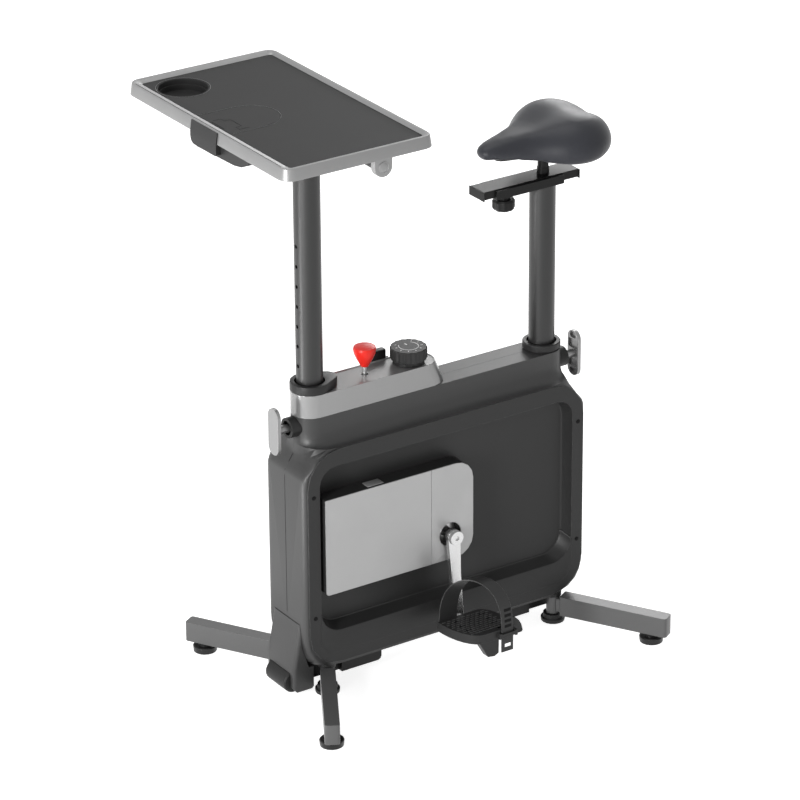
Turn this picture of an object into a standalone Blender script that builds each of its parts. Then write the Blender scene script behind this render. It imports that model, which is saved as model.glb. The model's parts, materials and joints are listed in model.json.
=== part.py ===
"""Desk exercise bike, modelled as an assembly of separate pieces.

Frame: metres, +Z up, +X towards the saddle, -X towards the desk. The origin is on the floor,
midway between the two posts, in the plane that splits the bike into its left and right sides.
"""
import math

import bmesh
import bpy
from mathutils import Matrix, Vector

# Fits
SEAT_GAP = 0.0003
SLIDE_GAP = 0.0004
MERGE = 0.00005

# Housing and side covers
HOUSING_BOTTOM = 0.062
COVER_HALF_LENGTH = 0.310
COVER_BOTTOM = 0.067
COVER_TOP = 0.506
COVER_CORNER = 0.070
COVER_THICKNESS = 0.0029
COVER_CHAMFER = 0.0008
RECESS_HALF_LENGTH = COVER_HALF_LENGTH - 0.026
RECESS_BOTTOM = COVER_BOTTOM + 0.0225
RECESS_TOP = COVER_TOP - 0.0335
RECESS_CORNER = 0.035
RECESS_DEPTH = 0.027
RECESS_DRAFT_FRONT = 0.003
RECESS_DRAFT_REAR = 0.0065
RECESS_DRAFT_BOTTOM = 0.012
RECESS_DRAFT_TOP = 0.004
RECESS_FILLET = 0.003
PAN_WALL = 0.0025
BODY_HALF_LENGTH = COVER_HALF_LENGTH + 0.0065
BODY_FOOT_HALF_LENGTH = BODY_HALF_LENGTH - 0.0165
BODY_HALF_WIDTH = 0.0658
BODY_EDGE_RADIUS = 0.014
SHOULDER_END = COVER_TOP - 0.054
SHOULDER_MARGIN = 0.004
NECK_FOOT_END = COVER_TOP - 0.014
NECK_FOOT_SIDE = COVER_TOP + 0.025
NECK_TOP = COVER_TOP + 0.054
NECK_RADIUS = 0.0365

# Drive boxes and their plates
BOX_LEFT = -0.2765
BOX_SEAM = -0.043
BOX_RIGHT = 0.051
BOX_BOTTOM = 0.216
BOX_TOP = 0.411
BOX_CORNER_FRONT = 0.006
BOX_CORNER_REAR = 0.038
BOX_EDGE = 0.002
PLATE_FACE = 0.0762
PLATE_THICKNESS = 0.0022
PLATE_SEAM_GAP = 0.0008
CRANK_HOLE_RADIUS = 0.0235
CRANK_HOLE_DISH = 0.0045

# Crank and pedals
CRANK_Z = 0.267
CRANK_LENGTH = 0.165
AXLE_RADIUS = 0.010
AXLE_END_RADIUS = 0.008
BRACKET_HALF_WIDTH = 0.056
ARM_INNER = 0.0785
ARM_THICKNESS = 0.012
ARM_SPLAY = 0.013
ARM_HUB_RADIUS = 0.0145
ARM_WAIST = 0.0105
ARM_END_RADIUS = 0.0125
CAP_HEIGHT = 0.008
CAP_SOCKET_RADIUS = 0.005
PEDAL_INNER = 0.1145
PEDAL_OUTER = 0.2075
SPINDLE_RADIUS = 0.007
SPINDLE_COLLAR_RADIUS = 0.009
SPINDLE_TIP = PEDAL_OUTER - 0.0185
PEDAL_FRONT = -0.057
PEDAL_FRONT_OUTER = -0.012
PEDAL_REAR = 0.060
PEDAL_REAR_OUTER = 0.068
PEDAL_CORNER = 0.012
PEDAL_CORNER_LENGTH = 0.028
PEDAL_CORNER_WIDTH = 0.050
PEDAL_RISE = 0.013
PEDAL_THICKNESS = 0.0185
BLOCK_INNER = PEDAL_OUTER - 0.0175
BLOCK_DROP = 0.039
FIN_REACH = 0.0744
FIN_RISE = 0.031
FIN_THICKNESS = 0.004
BUCKLE_CHEEK = 0.0048
STRAP_THICKNESS = 0.002
STRAP_RISE = 0.108
STRAP_INNER_EDGES = (-0.052, -0.012)
STRAP_OUTER_EDGES = (0.024, 0.050)
STRAP_TAB_DROP = 0.041

# Console, collars, clamps and controls
CONSOLE_TOP = NECK_TOP + 0.0455
CONSOLE_DISH = 0.0015
CONSOLE_RIM = 0.002
CONSOLE_END_TOP = -0.027
CONSOLE_END_BOTTOM = -0.008
COLLAR_TOP = CONSOLE_TOP + 0.017
COLLAR_RADIUS = 0.0375
COLLAR_NOSE_X = -0.2235
COLLAR_NOSE_RADIUS = 0.0205
REAR_COLLAR_TOP = NECK_TOP + 0.015
REAR_COLLAR_LIP = NECK_TOP + 0.0037
FRONT_CLAMP_Z = NECK_TOP - 0.0215
REAR_CLAMP_Z = NECK_TOP - 0.031
CLAMP_FACE = 0.310
CLAMP_BOSS_RADIUS = 0.0195
CLAMP_BOSS_SETBACK = 0.002
CLAMP_RECESS_RADIUS = 0.014
CLAMP_RECESS_DEPTH = 0.008
CLAMP_STEM_RADIUS = 0.008
CLAMP_PIN_RADIUS = 0.0038
PADDLE_INNER = 0.3325
PADDLE_THICKNESS = 0.007
PADDLE_HEIGHT = 0.092
PADDLE_WIDTH = 0.034
PADDLE_WALL = 0.003
PADDLE_RIB = 0.003
BRAKE_X = -0.139
BRAKE_STEM_RADIUS = 0.004
BRAKE_KNOB_RADIUS = 0.0218
BRAKE_KNOB_BOTTOM = CONSOLE_TOP + 0.0145
BRAKE_KNOB_TOP = BRAKE_KNOB_BOTTOM + 0.042
BRAKE_WELL_RADIUS = 0.0068
BRAKE_WELL_DEPTH = 0.005
DIAL_X = -0.042
DIAL_RADIUS = 0.035
DIAL_FLUTES = 16
DIAL_FLUTE_DEPTH = 0.0016
DIAL_BOTTOM = CONSOLE_TOP + 0.0075
DIAL_TOP = DIAL_BOTTOM + 0.023
DIAL_SHAFT_RADIUS = 0.005

# Desk
DESK_FRONT = -0.4675
DESK_REAR = -0.162
DESK_HALF_WIDTH = 0.267
DESK_TOP = 1.165
DESK_BOTTOM = DESK_TOP - 0.022
DESK_FLARE = 0.003
DESK_CORNER = 0.020
DESK_RIM = 0.006
DESK_WALL = 0.004
DESK_WEB_BOTTOM = DESK_TOP - 0.015
INLAY_TOP = DESK_TOP - 0.0047
INLAY_THICKNESS = 0.003
INLAY_FRONT = DESK_FRONT + 0.0185
INLAY_REAR = DESK_REAR - 0.012
INLAY_HALF_WIDTH = DESK_HALF_WIDTH - 0.0165
INLAY_CORNER = 0.006
CUP_X = INLAY_FRONT + 0.053
CUP_Y = INLAY_HALF_WIDTH - 0.0585
CUP_RADIUS = 0.0485
CUP_DEPTH = 0.022
CUP_LEDGE_DEPTH = 0.010
CUP_LEDGE_RADIUS = 0.043
CUP_WALL = 0.002
FLAP_HALF_WIDTH = 0.055
FLAP_HINGE_X = INLAY_FRONT + 0.0015
FLAP_ARC_X = FLAP_HINGE_X + 0.0725
WRAP_THICKNESS = 0.0025
WRAP_NEAR = -0.0465
WRAP_FAR = 0.040
WRAP_TOP = DESK_TOP - 0.0015
WRAP_BOTTOM = DESK_BOTTOM - 0.022
DOCK_BOTTOM = DESK_BOTTOM - 0.0305
DOCK_REAR = DESK_FRONT + 0.0975
DOCK_NEAR = -0.143
DOCK_FAR = 0.036
TILT_X = -0.257
TILT_Z = DESK_WEB_BOTTOM - 0.031
TILT_BAR_RADIUS = 0.0115
TILT_PIN_RADIUS = 0.0105
LUG_OUTER = DESK_HALF_WIDTH - 0.017
LUG_THICKNESS = 0.013
LUG_FACE = 0.002
LUG_RADIUS = 0.018

# Saddle and its slide
CHANNEL_FRONT = 0.137
CHANNEL_REAR = 0.289
CHANNEL_HALF_WIDTH = 0.0275
CHANNEL_BOTTOM = 0.894
CHANNEL_TOP = CHANNEL_BOTTOM + 0.017
CHANNEL_WALL = 0.0045
CHANNEL_FLOOR = 0.003
BAR_FRONT = CHANNEL_FRONT - 0.027
BAR_REAR = CHANNEL_REAR + 0.0375
BAR_TOP = CHANNEL_TOP + 0.0023
BAR_CAP = 0.0015
LOCK_X = 0.1706
LOCK_RADIUS = 0.0215
LOCK_TOP = CHANNEL_BOTTOM - 0.012
LOCK_BOTTOM = LOCK_TOP - 0.021
LOCK_SHAFT_RADIUS = 0.006
STEM_X = 0.2595
STEM_RADIUS = 0.0105
STEM_TOP = BAR_TOP + 0.0352
SADDLE_BASE_BOTTOM = STEM_TOP + 0.0132
SADDLE_BASE_TOP = SADDLE_BASE_BOTTOM + 0.010
SADDLE_BASE_REAR = (0.295, 0.0, 0.050)
SADDLE_BASE_FRONT = (0.165, 0.0, 0.015)
CUSHION_FRONT = 0.112
CUSHION_LENGTH = 0.260
CUSHION_HALF_WIDTH = 0.111

# Posts and their sleeves
POST_X = 0.259
POST_RADIUS = 0.025
POST_WALL = 0.002
POST_CAP = 0.006
FRONT_POST_TOP = TILT_Z - 0.021
REAR_POST_TOP = CHANNEL_BOTTOM - SEAT_GAP
POST_BOTTOM = 0.330
POST_HOLE_RADIUS = 0.004
POST_HOLE_PITCH = 0.0392
POST_HOLE_COUNT = 10
SLEEVE_WALL = 0.003
SLEEVE_BOTTOM = 0.070

# Base, legs and roller
RAIL_HALF_WIDTH = 0.0285
RAIL_INNER = 0.126
RAIL_STEP = 0.2154
RAIL_OUTER = 0.290
RAIL_BOTTOM = 0.0195
WEB_HALF_WIDTH = 0.0195
HINGE_Y = 0.046
EAR_BOTTOM = 0.0538
EAR_RADIUS = 0.016
HINGE_PIN_RADIUS = 0.006
HINGE_DISC_RADIUS = 0.024
HINGE_DISC_TOP = 0.008
HINGE_CUP_RADIUS = 0.020
HINGE_CUP_TOP = 0.0162
BARREL_RADIUS = 0.013
BARREL_BOTTOM = 0.0165
BARREL_TOP = 0.0528
LEG_ANGLE = math.radians(59.5)
LEG_START = 0.0195
LEG_END = 0.242
LEG_WIDTH = 0.0286
LEG_BOTTOM = 0.018
LEG_TOP = 0.058
LEG_TIP_RADIUS = 0.005
FOOT_REACH = 0.2067
FOOT_RADIUS = 0.0235
FOOT_TOP = 0.012
FOOT_NECK_RADIUS = 0.012
FAIRING_TOP = COVER_BOTTOM + 0.087
FAIRING_FRONT = -BODY_HALF_LENGTH - 0.018
FAIRING_BOTTOM = 0.0165
FAIRING_HALF_WIDTH = 0.048
FAIRING_CORNER = 0.008
ROLLER_X = FAIRING_FRONT + 0.010
ROLLER_Z = 0.033
ROLLER_RADIUS = 0.022
ROLLER_HALF_WIDTH = 0.034
ROLLER_ROOM = 0.0015
ROLLER_AXLE_RADIUS = 0.004

CORNER_STEPS = 4
ROUND_STEPS = 24
SMALL_STEPS = 16
TINY_STEPS = 12


def start_scene():
    """Clear the scene and make one collection for the parts and one for the cutters."""
    for obj in list(bpy.data.objects):
        bpy.data.objects.remove(obj, do_unlink=True)
    parts = bpy.data.collections.new("desk_exercise_bike")
    cutters = bpy.data.collections.new("cutters")
    for collection in (parts, cutters):
        bpy.context.scene.collection.children.link(collection)
    return parts, cutters


PARTS, CUTTERS = start_scene()


def make_material(name, colour, roughness, metallic):
    material = bpy.data.materials.new(name)
    material.use_nodes = True
    shader = material.node_tree.nodes["Principled BSDF"]
    shader.inputs["Base Color"].default_value = (*colour, 1.0)
    shader.inputs["Roughness"].default_value = roughness
    shader.inputs["Metallic"].default_value = metallic
    return material


HOUSING_BLACK = make_material("housing_black", (0.045, 0.045, 0.045), 0.45, 0.0)
COVER_BLACK = make_material("cover_black", (0.035, 0.035, 0.035), 0.5, 0.0)
PLATE_SILVER = make_material("plate_silver", (0.38, 0.38, 0.38), 0.4, 0.8)
CONSOLE_SILVER = make_material("console_silver", (0.32, 0.32, 0.32), 0.3, 0.8)
TRIM_BLACK = make_material("trim_black", (0.03, 0.03, 0.03), 0.5, 0.0)
POST_BLACK = make_material("post_black", (0.04, 0.04, 0.04), 0.3, 0.6)
STEEL = make_material("steel", (0.5, 0.5, 0.5), 0.3, 1.0)
ALUMINIUM = make_material("aluminium", (0.7, 0.7, 0.7), 0.25, 1.0)
BRAKE_RED = make_material("brake_red", (0.75, 0.04, 0.02), 0.4, 0.0)
TRAY_SILVER = make_material("tray_silver", (0.29, 0.29, 0.29), 0.4, 0.7)
INLAY_GREY = make_material("inlay_grey", (0.07, 0.07, 0.07), 0.6, 0.0)
PEDAL_BLACK = make_material("pedal_black", (0.04, 0.04, 0.04), 0.6, 0.0)
STRAP_BLACK = make_material("strap_black", (0.04, 0.04, 0.04), 0.5, 0.0)
SADDLE_SLATE = make_material("saddle_slate", (0.035, 0.037, 0.042), 0.45, 0.0)
LEG_GREY = make_material("leg_grey", (0.17, 0.17, 0.17), 0.35, 0.8)
FOOT_RUBBER = make_material("foot_rubber", (0.02, 0.02, 0.02), 0.7, 0.0)


def add_object(name, mesh, material=None, collection=PARTS):
    obj = bpy.data.objects.new(name, mesh)
    collection.objects.link(obj)
    if material:
        mesh.materials.clear()
        mesh.materials.append(material)
    mesh.shade_smooth()
    mesh.set_sharp_from_angle(angle=math.radians(35))
    return obj


def as_cutter(obj):
    """Move an object to the cutters, where it only shapes other pieces."""
    for collection in list(obj.users_collection):
        collection.objects.unlink(obj)
    CUTTERS.objects.link(obj)
    obj.hide_render = True
    obj.display_type = 'WIRE'
    return obj


def combine(target, other, operation):
    modifier = target.modifiers.new(operation.lower(), 'BOOLEAN')
    modifier.operation = operation
    modifier.solver = 'EXACT'
    modifier.object = as_cutter(other)
    return target


def cut(target, *others):
    for other in others:
        combine(target, other, 'DIFFERENCE')
    return target


def join(target, *others):
    for other in others:
        combine(target, other, 'UNION')
    return target


def round_edges(obj, width, segments=2, angle=40.0):
    bevel = obj.modifiers.new("rounding", 'BEVEL')
    bevel.width = width
    bevel.segments = segments
    bevel.limit_method = 'ANGLE'
    bevel.angle_limit = math.radians(angle)
    return obj


def box(name, low, high, material=None):
    """An upright box between two corners, with its origin at its middle."""
    low, high = Vector(low), Vector(high)
    mesh = bpy.data.meshes.new(name)
    bm = bmesh.new()
    bmesh.ops.create_cube(bm, size=1.0)
    bmesh.ops.scale(bm, vec=high - low, verts=bm.verts)
    bm.to_mesh(mesh)
    bm.free()
    obj = add_object(name, mesh, material)
    obj.location = (low + high) / 2
    return obj


def rod(name, start, end, radius, material=None, steps=ROUND_STEPS, end_radius=None):
    """A cylinder or cone along the line from start to end."""
    start, end = Vector(start), Vector(end)
    mesh = bpy.data.meshes.new(name)
    bm = bmesh.new()
    top = radius if end_radius is None else end_radius
    bmesh.ops.create_cone(bm, cap_ends=True, segments=steps, radius1=radius, radius2=top,
                          depth=(end - start).length)
    bm.to_mesh(mesh)
    bm.free()
    obj = add_object(name, mesh, material)
    obj.rotation_mode = 'QUATERNION'
    obj.rotation_quaternion = (end - start).to_track_quat('Z', 'Y')
    obj.location = (start + end) / 2
    return obj


def turned(name, profile, origin, direction='Z', material=None, steps=ROUND_STEPS):
    """A profile of (radius, height) points, outer side from the top down, turned about an axis."""
    mesh = bpy.data.meshes.new(name)
    points = [(radius, 0.0, height) for radius, height in profile]
    closed = min(radius for radius, _ in profile) > 0.0
    edges = [(i, i + 1) for i in range(len(points) - 1)]
    if closed:
        edges.append((len(points) - 1, 0))
    mesh.from_pydata(points, edges, [])
    obj = add_object(name, mesh, material)
    screw = obj.modifiers.new("turn", 'SCREW')
    screw.axis = 'Z'
    screw.angle = math.tau
    screw.steps = steps
    screw.render_steps = steps
    screw.use_merge_vertices = True
    screw.merge_threshold = MERGE
    obj.location = origin
    quarter = math.pi / 2
    obj.rotation_euler = {'Z': (0, 0, 0), 'X': (0, quarter, 0), '-X': (0, -quarter, 0),
                          'Y': (-quarter, 0, 0), '-Y': (quarter, 0, 0)}[direction]
    return obj


def slab(name, outline, low, high, normal='Z', material=None):
    """A flat outline given thickness from low to high along its normal.

    The outline's two coordinates are X and Y for a slab along Z, X and Z along Y, Y and Z along X.
    """
    curve = bpy.data.curves.new(name, 'CURVE')
    curve.dimensions = '2D'
    curve.fill_mode = 'BOTH'
    curve.extrude = (high - low) / 2
    curve.render_resolution_u = 0
    spline = curve.splines.new('POLY')
    spline.points.add(len(outline) - 1)
    for point, (u, v) in zip(spline.points, outline):
        point.co = (u, v, 0.0, 1.0)
    spline.use_cyclic_u = True
    guide = bpy.data.objects.new(name, curve)
    PARTS.objects.link(guide)
    mesh = bpy.data.meshes.new_from_object(guide.evaluated_get(bpy.context.evaluated_depsgraph_get()))
    bpy.data.objects.remove(guide, do_unlink=True)
    middle = (low + high) / 2
    place = {'Z': lambda u, v, w: (u, v, w + middle),
             'Y': lambda u, v, w: (u, w + middle, v),
             'X': lambda u, v, w: (w + middle, u, v)}[normal]
    bm = bmesh.new()
    bm.from_mesh(mesh)
    bmesh.ops.remove_doubles(bm, verts=bm.verts, dist=MERGE)
    for vert in bm.verts:
        vert.co = place(*vert.co)
    bm.normal_update()
    bmesh.ops.recalc_face_normals(bm, faces=bm.faces)
    bm.to_mesh(mesh)
    bm.free()
    return add_object(name, mesh, material)


def loft(name, rings, material=None):
    """A skin over rings that hold the same number of points, closed by a flat cap at each end."""
    bm = bmesh.new()
    loops = [[bm.verts.new(point) for point in ring] for ring in rings]
    count = len(rings[0])
    for lower, upper in zip(loops, loops[1:]):
        for i in range(count):
            j = (i + 1) % count
            bm.faces.new((lower[i], lower[j], upper[j], upper[i]))
    bm.faces.new(list(reversed(loops[0])))
    bm.faces.new(loops[-1])
    bmesh.ops.recalc_face_normals(bm, faces=bm.faces)
    mesh = bpy.data.meshes.new(name)
    bm.to_mesh(mesh)
    bm.free()
    return add_object(name, mesh, material)


def mirrored(source, name):
    """The same piece on the other side of the bike, as its own mesh."""
    bpy.context.view_layer.update()
    graph = bpy.context.evaluated_depsgraph_get()
    mesh = bpy.data.meshes.new_from_object(source.evaluated_get(graph))
    mesh.transform(Matrix.Scale(-1.0, 4, Vector((0, 1, 0))) @ source.matrix_world)
    mesh.flip_normals()
    return add_object(name, mesh, source.data.materials[0])


def arc(centre, radius, start, end, steps):
    """Points on a circle from one angle to another, in degrees, both ends included."""
    points = []
    for i in range(steps + 1):
        angle = math.radians(start + (end - start) * i / steps)
        points.append((centre[0] + radius * math.cos(angle), centre[1] + radius * math.sin(angle)))
    return points


def rounded_rectangle(left, right, bottom, top, radius, steps=CORNER_STEPS):
    """A rectangle with round corners, anticlockwise; radius is one value or one for each corner.

    The corners come in the order left bottom, right bottom, right top, left top.
    """
    radii = [radius] * 4 if isinstance(radius, float) else list(radius)
    centres = ((left + radii[0], bottom + radii[0]), (right - radii[1], bottom + radii[1]),
               (right - radii[2], top - radii[2]), (left + radii[3], top - radii[3]))
    points = []
    for centre, corner, start in zip(centres, radii, (180, 270, 0, 90)):
        points += arc(centre, corner, start, start + 90, steps)
    return points


def capsule(first, second, steps=8):
    """Outline round two circles, each given as centre u, centre v and radius."""
    (u1, v1, r1), (u2, v2, r2) = first, second
    heading = math.degrees(math.atan2(v2 - v1, u2 - u1))
    spread = math.degrees(math.acos((r1 - r2) / math.hypot(u2 - u1, v2 - v1)))
    far = arc((u2, v2), r2, heading - spread, heading + spread, steps)
    near = arc((u1, v1), r1, heading + spread, heading + 360 - spread, steps)
    return far + near


def pivot(name, position, *pieces):
    """An empty on a joint's axis that carries the pieces moving with that joint."""
    empty = bpy.data.objects.new(name, None)
    empty.empty_display_size = 0.02
    empty.location = position
    PARTS.objects.link(empty)
    for piece in pieces:
        piece.parent = empty
        piece.matrix_parent_inverse = Matrix.Translation(-Vector(position))
    return empty


def cover_reach(z):
    """Half length of the side cover's outline at height z."""
    if z > COVER_TOP - COVER_CORNER:
        rise = min(z - (COVER_TOP - COVER_CORNER), COVER_CORNER)
    elif z < COVER_BOTTOM + COVER_CORNER:
        rise = min(COVER_BOTTOM + COVER_CORNER - z, COVER_CORNER)
    else:
        rise = 0.0
    straight = COVER_HALF_LENGTH - COVER_CORNER
    return straight + math.sqrt(COVER_CORNER ** 2 - rise ** 2)


def body_reach(z):
    """Half length of the housing at height z: foot taper, body, shoulder sweep and neck."""
    neck = POST_X + NECK_RADIUS
    taper_top = COVER_BOTTOM + COVER_CORNER
    if z <= taper_top:
        share = (z - HOUSING_BOTTOM) / (taper_top - HOUSING_BOTTOM)
        bulge = math.sin(share * math.pi / 2)
        return BODY_FOOT_HALF_LENGTH + (BODY_HALF_LENGTH - BODY_FOOT_HALF_LENGTH) * bulge
    if z <= SHOULDER_END:
        return BODY_HALF_LENGTH
    if z >= NECK_FOOT_END:
        return neck
    share = (z - SHOULDER_END) / (NECK_FOOT_END - SHOULDER_END)
    return neck + (BODY_HALF_LENGTH - neck) * (1 + math.cos(share * math.pi)) / 2


def body_width(z):
    """Half width of the housing at height z, with the concave sweep from neck to cover."""
    if z <= COVER_TOP:
        return BODY_HALF_WIDTH
    if z >= NECK_FOOT_SIDE:
        return NECK_RADIUS
    share = (NECK_FOOT_SIDE - z) / (NECK_FOOT_SIDE - COVER_TOP)
    return NECK_RADIUS + (BODY_HALF_WIDTH - NECK_RADIUS) * (1 - math.sqrt(1 - share ** 2))


def shoulder_depth(z):
    """Half depth of the housing's end corner at height z, from a small radius to the round neck."""
    if z <= SHOULDER_END:
        return BODY_EDGE_RADIUS
    full = BODY_HALF_WIDTH - SHOULDER_MARGIN
    if z <= COVER_TOP:
        share = min((z - SHOULDER_END) / (NECK_FOOT_END - SHOULDER_END), 1.0)
        return BODY_EDGE_RADIUS + (full - BODY_EDGE_RADIUS) * (1 - math.cos(share * math.pi)) / 2
    share = min((z - COVER_TOP) / (NECK_FOOT_SIDE - COVER_TOP), 1.0)
    return body_width(z) - SHOULDER_MARGIN + (SHOULDER_MARGIN - SEAT_GAP) * share


def housing_section(z):
    """Plan outline of the left half of the housing at height z, closed along the centre plane."""
    reach = body_reach(z)
    width = body_width(z)
    if z > COVER_TOP:
        share = min((z - COVER_TOP) / (NECK_FOOT_SIDE - COVER_TOP), 1.0)
        straight = cover_reach(COVER_TOP) + (POST_X - cover_reach(COVER_TOP)) * share
    else:
        straight = min(cover_reach(z), reach - BODY_EDGE_RADIUS / 2)
    corner_x = reach - straight
    corner_y = shoulder_depth(z)
    if z <= SHOULDER_END:
        corner_y = max(corner_x, corner_y)
    points = []
    for i in range(CORNER_STEPS + 1):
        angle = math.pi / 2 * i / CORNER_STEPS
        points.append((-straight - corner_x * math.cos(angle), -(width - corner_y) - corner_y * math.sin(angle)))
    mirrored_points = [(-x, y) for x, y in reversed(points)]
    split = -SEAT_GAP / 2
    outline = [(-reach, split)] + points + mirrored_points + [(reach, split)]
    return [(x, y, z) for x, y in outline]


def housing_levels():
    """Heights of the housing's sections, closer together where its outline curves."""
    foot = [HOUSING_BOTTOM, COVER_BOTTOM + 0.0005]
    foot += [COVER_BOTTOM + COVER_CORNER * (1 - math.cos(math.radians(a))) for a in (24, 42, 60, 76, 90)]
    shoulder = [COVER_TOP - COVER_CORNER, SHOULDER_END]
    shoulder += [SHOULDER_END + (NECK_FOOT_END - SHOULDER_END) * i / 5 for i in range(1, 6)]
    sweep_height = NECK_FOOT_SIDE - COVER_TOP
    sweep = [NECK_FOOT_SIDE - sweep_height * math.cos(math.radians(a)) for a in (0, 14, 31, 47, 64, 90)]
    return foot + shoulder + sweep + [NECK_TOP]


def sleeve_radius():
    return POST_RADIUS + SLIDE_GAP + SLEEVE_WALL


def post_bore(name, side, bottom, top):
    return rod(name, (side * POST_X, 0, bottom), (side * POST_X, 0, top), sleeve_radius() + SEAT_GAP)


def clamp_height(side):
    return REAR_CLAMP_Z if side > 0 else FRONT_CLAMP_Z


def along(axis, side):
    """The name of the direction along an axis on one side of the bike."""
    return axis if side > 0 else "-" + axis


def clamp_bore(name, side):
    z = clamp_height(side)
    return rod(name, (side * POST_X, 0, z), (side * (CLAMP_FACE + 0.01), 0, z),
               CLAMP_STEM_RADIUS + SEAT_GAP, steps=TINY_STEPS)


def clamp_form(name, side):
    """The stepped bore in the neck's end: a seat for the clamp boss, then a hole for its stem."""
    seat = CLAMP_BOSS_RADIUS + SEAT_GAP
    seat_start = POST_X + POST_RADIUS
    stem = CLAMP_STEM_RADIUS + SEAT_GAP
    profile = [(0.0, CLAMP_FACE + 0.01), (seat, CLAMP_FACE + 0.01), (seat, seat_start), (stem, seat_start),
               (stem, POST_X + 0.005), (0.0, POST_X + 0.005)]
    return turned(name, profile, (0, 0, clamp_height(side)), along('X', side))


def pan_outline(grow=0.0):
    edge = RECESS_HALF_LENGTH + PAN_WALL + grow
    return rounded_rectangle(-edge, edge, RECESS_BOTTOM - PAN_WALL - grow, RECESS_TOP + PAN_WALL + grow,
                             RECESS_CORNER + PAN_WALL + grow)


def panel_back():
    return BODY_HALF_WIDTH + SEAT_GAP + COVER_THICKNESS - RECESS_DEPTH - PAN_WALL


def build_housing():
    """Two moulded halves, split on the centre plane, bored for the posts, clamps and bracket."""
    left = loft("housing_left", [housing_section(z) for z in housing_levels()], HOUSING_BLACK)
    cut(left, slab("pan_pocket", pan_outline(SEAT_GAP), -0.09, -(panel_back() - SEAT_GAP), 'Y'))
    for side, label in ((-1, "front"), (1, "rear")):
        cut(left, post_bore(f"{label}_sleeve_bore", side, SLEEVE_BOTTOM - SEAT_GAP, NECK_TOP + 0.02))
        cut(left, clamp_form(f"{label}_clamp_form", side))
    cut(left, rod("bracket_bore", (0, -0.08, CRANK_Z), (0, 0.02, CRANK_Z), CRANK_HOLE_RADIUS))
    right = mirrored(left, "housing_right")
    return left, right


def recess_cutter():
    """The recess's form: drafted walls and a fillet round its panel."""
    face = BODY_HALF_WIDTH + SEAT_GAP + COVER_THICKNESS
    panel = face - RECESS_DEPTH

    def ring(share, extra, y):
        front = -RECESS_HALF_LENGTH + RECESS_DRAFT_FRONT * share + extra
        rear = RECESS_HALF_LENGTH - RECESS_DRAFT_REAR * share - extra
        bottom = RECESS_BOTTOM + RECESS_DRAFT_BOTTOM * share + extra
        top = RECESS_TOP - RECESS_DRAFT_TOP * share - extra
        outline = rounded_rectangle(front, rear, bottom, top, RECESS_CORNER - extra)
        return [(x, -y, z) for x, z in outline]

    fillet = RECESS_FILLET
    return loft("recess_form", [ring(0.0, 0.0, face + 0.01), ring(0.0, 0.0, face),
                                ring(0.9, 0.0, panel + fillet), ring(0.97, fillet * 0.3, panel + fillet * 0.3),
                                ring(1.0, fillet, panel)])


def build_side_covers():
    """Each cover is a thin rounded plate with a deep pan pressed into it."""
    back = BODY_HALF_WIDTH + SEAT_GAP
    face = back + COVER_THICKNESS

    def rim(inset, y):
        edge = COVER_HALF_LENGTH - inset
        outline = rounded_rectangle(-edge, edge, COVER_BOTTOM + inset, COVER_TOP - inset, COVER_CORNER - inset)
        return [(x, -y, z) for x, z in outline]

    left = loft("side_cover_left", [rim(0.0, back), rim(0.0, face - COVER_CHAMFER), rim(COVER_CHAMFER, face)],
                COVER_BLACK)
    join(left, slab("pan_block", pan_outline(), -(back + COVER_THICKNESS / 2), -panel_back(), 'Y'))
    cut(left, recess_cutter())
    cut(left, rod("cover_bracket_bore", (0, -0.08, CRANK_Z), (0, -0.02, CRANK_Z), CRANK_HOLE_RADIUS))
    return left, mirrored(left, "side_cover_right")


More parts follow.
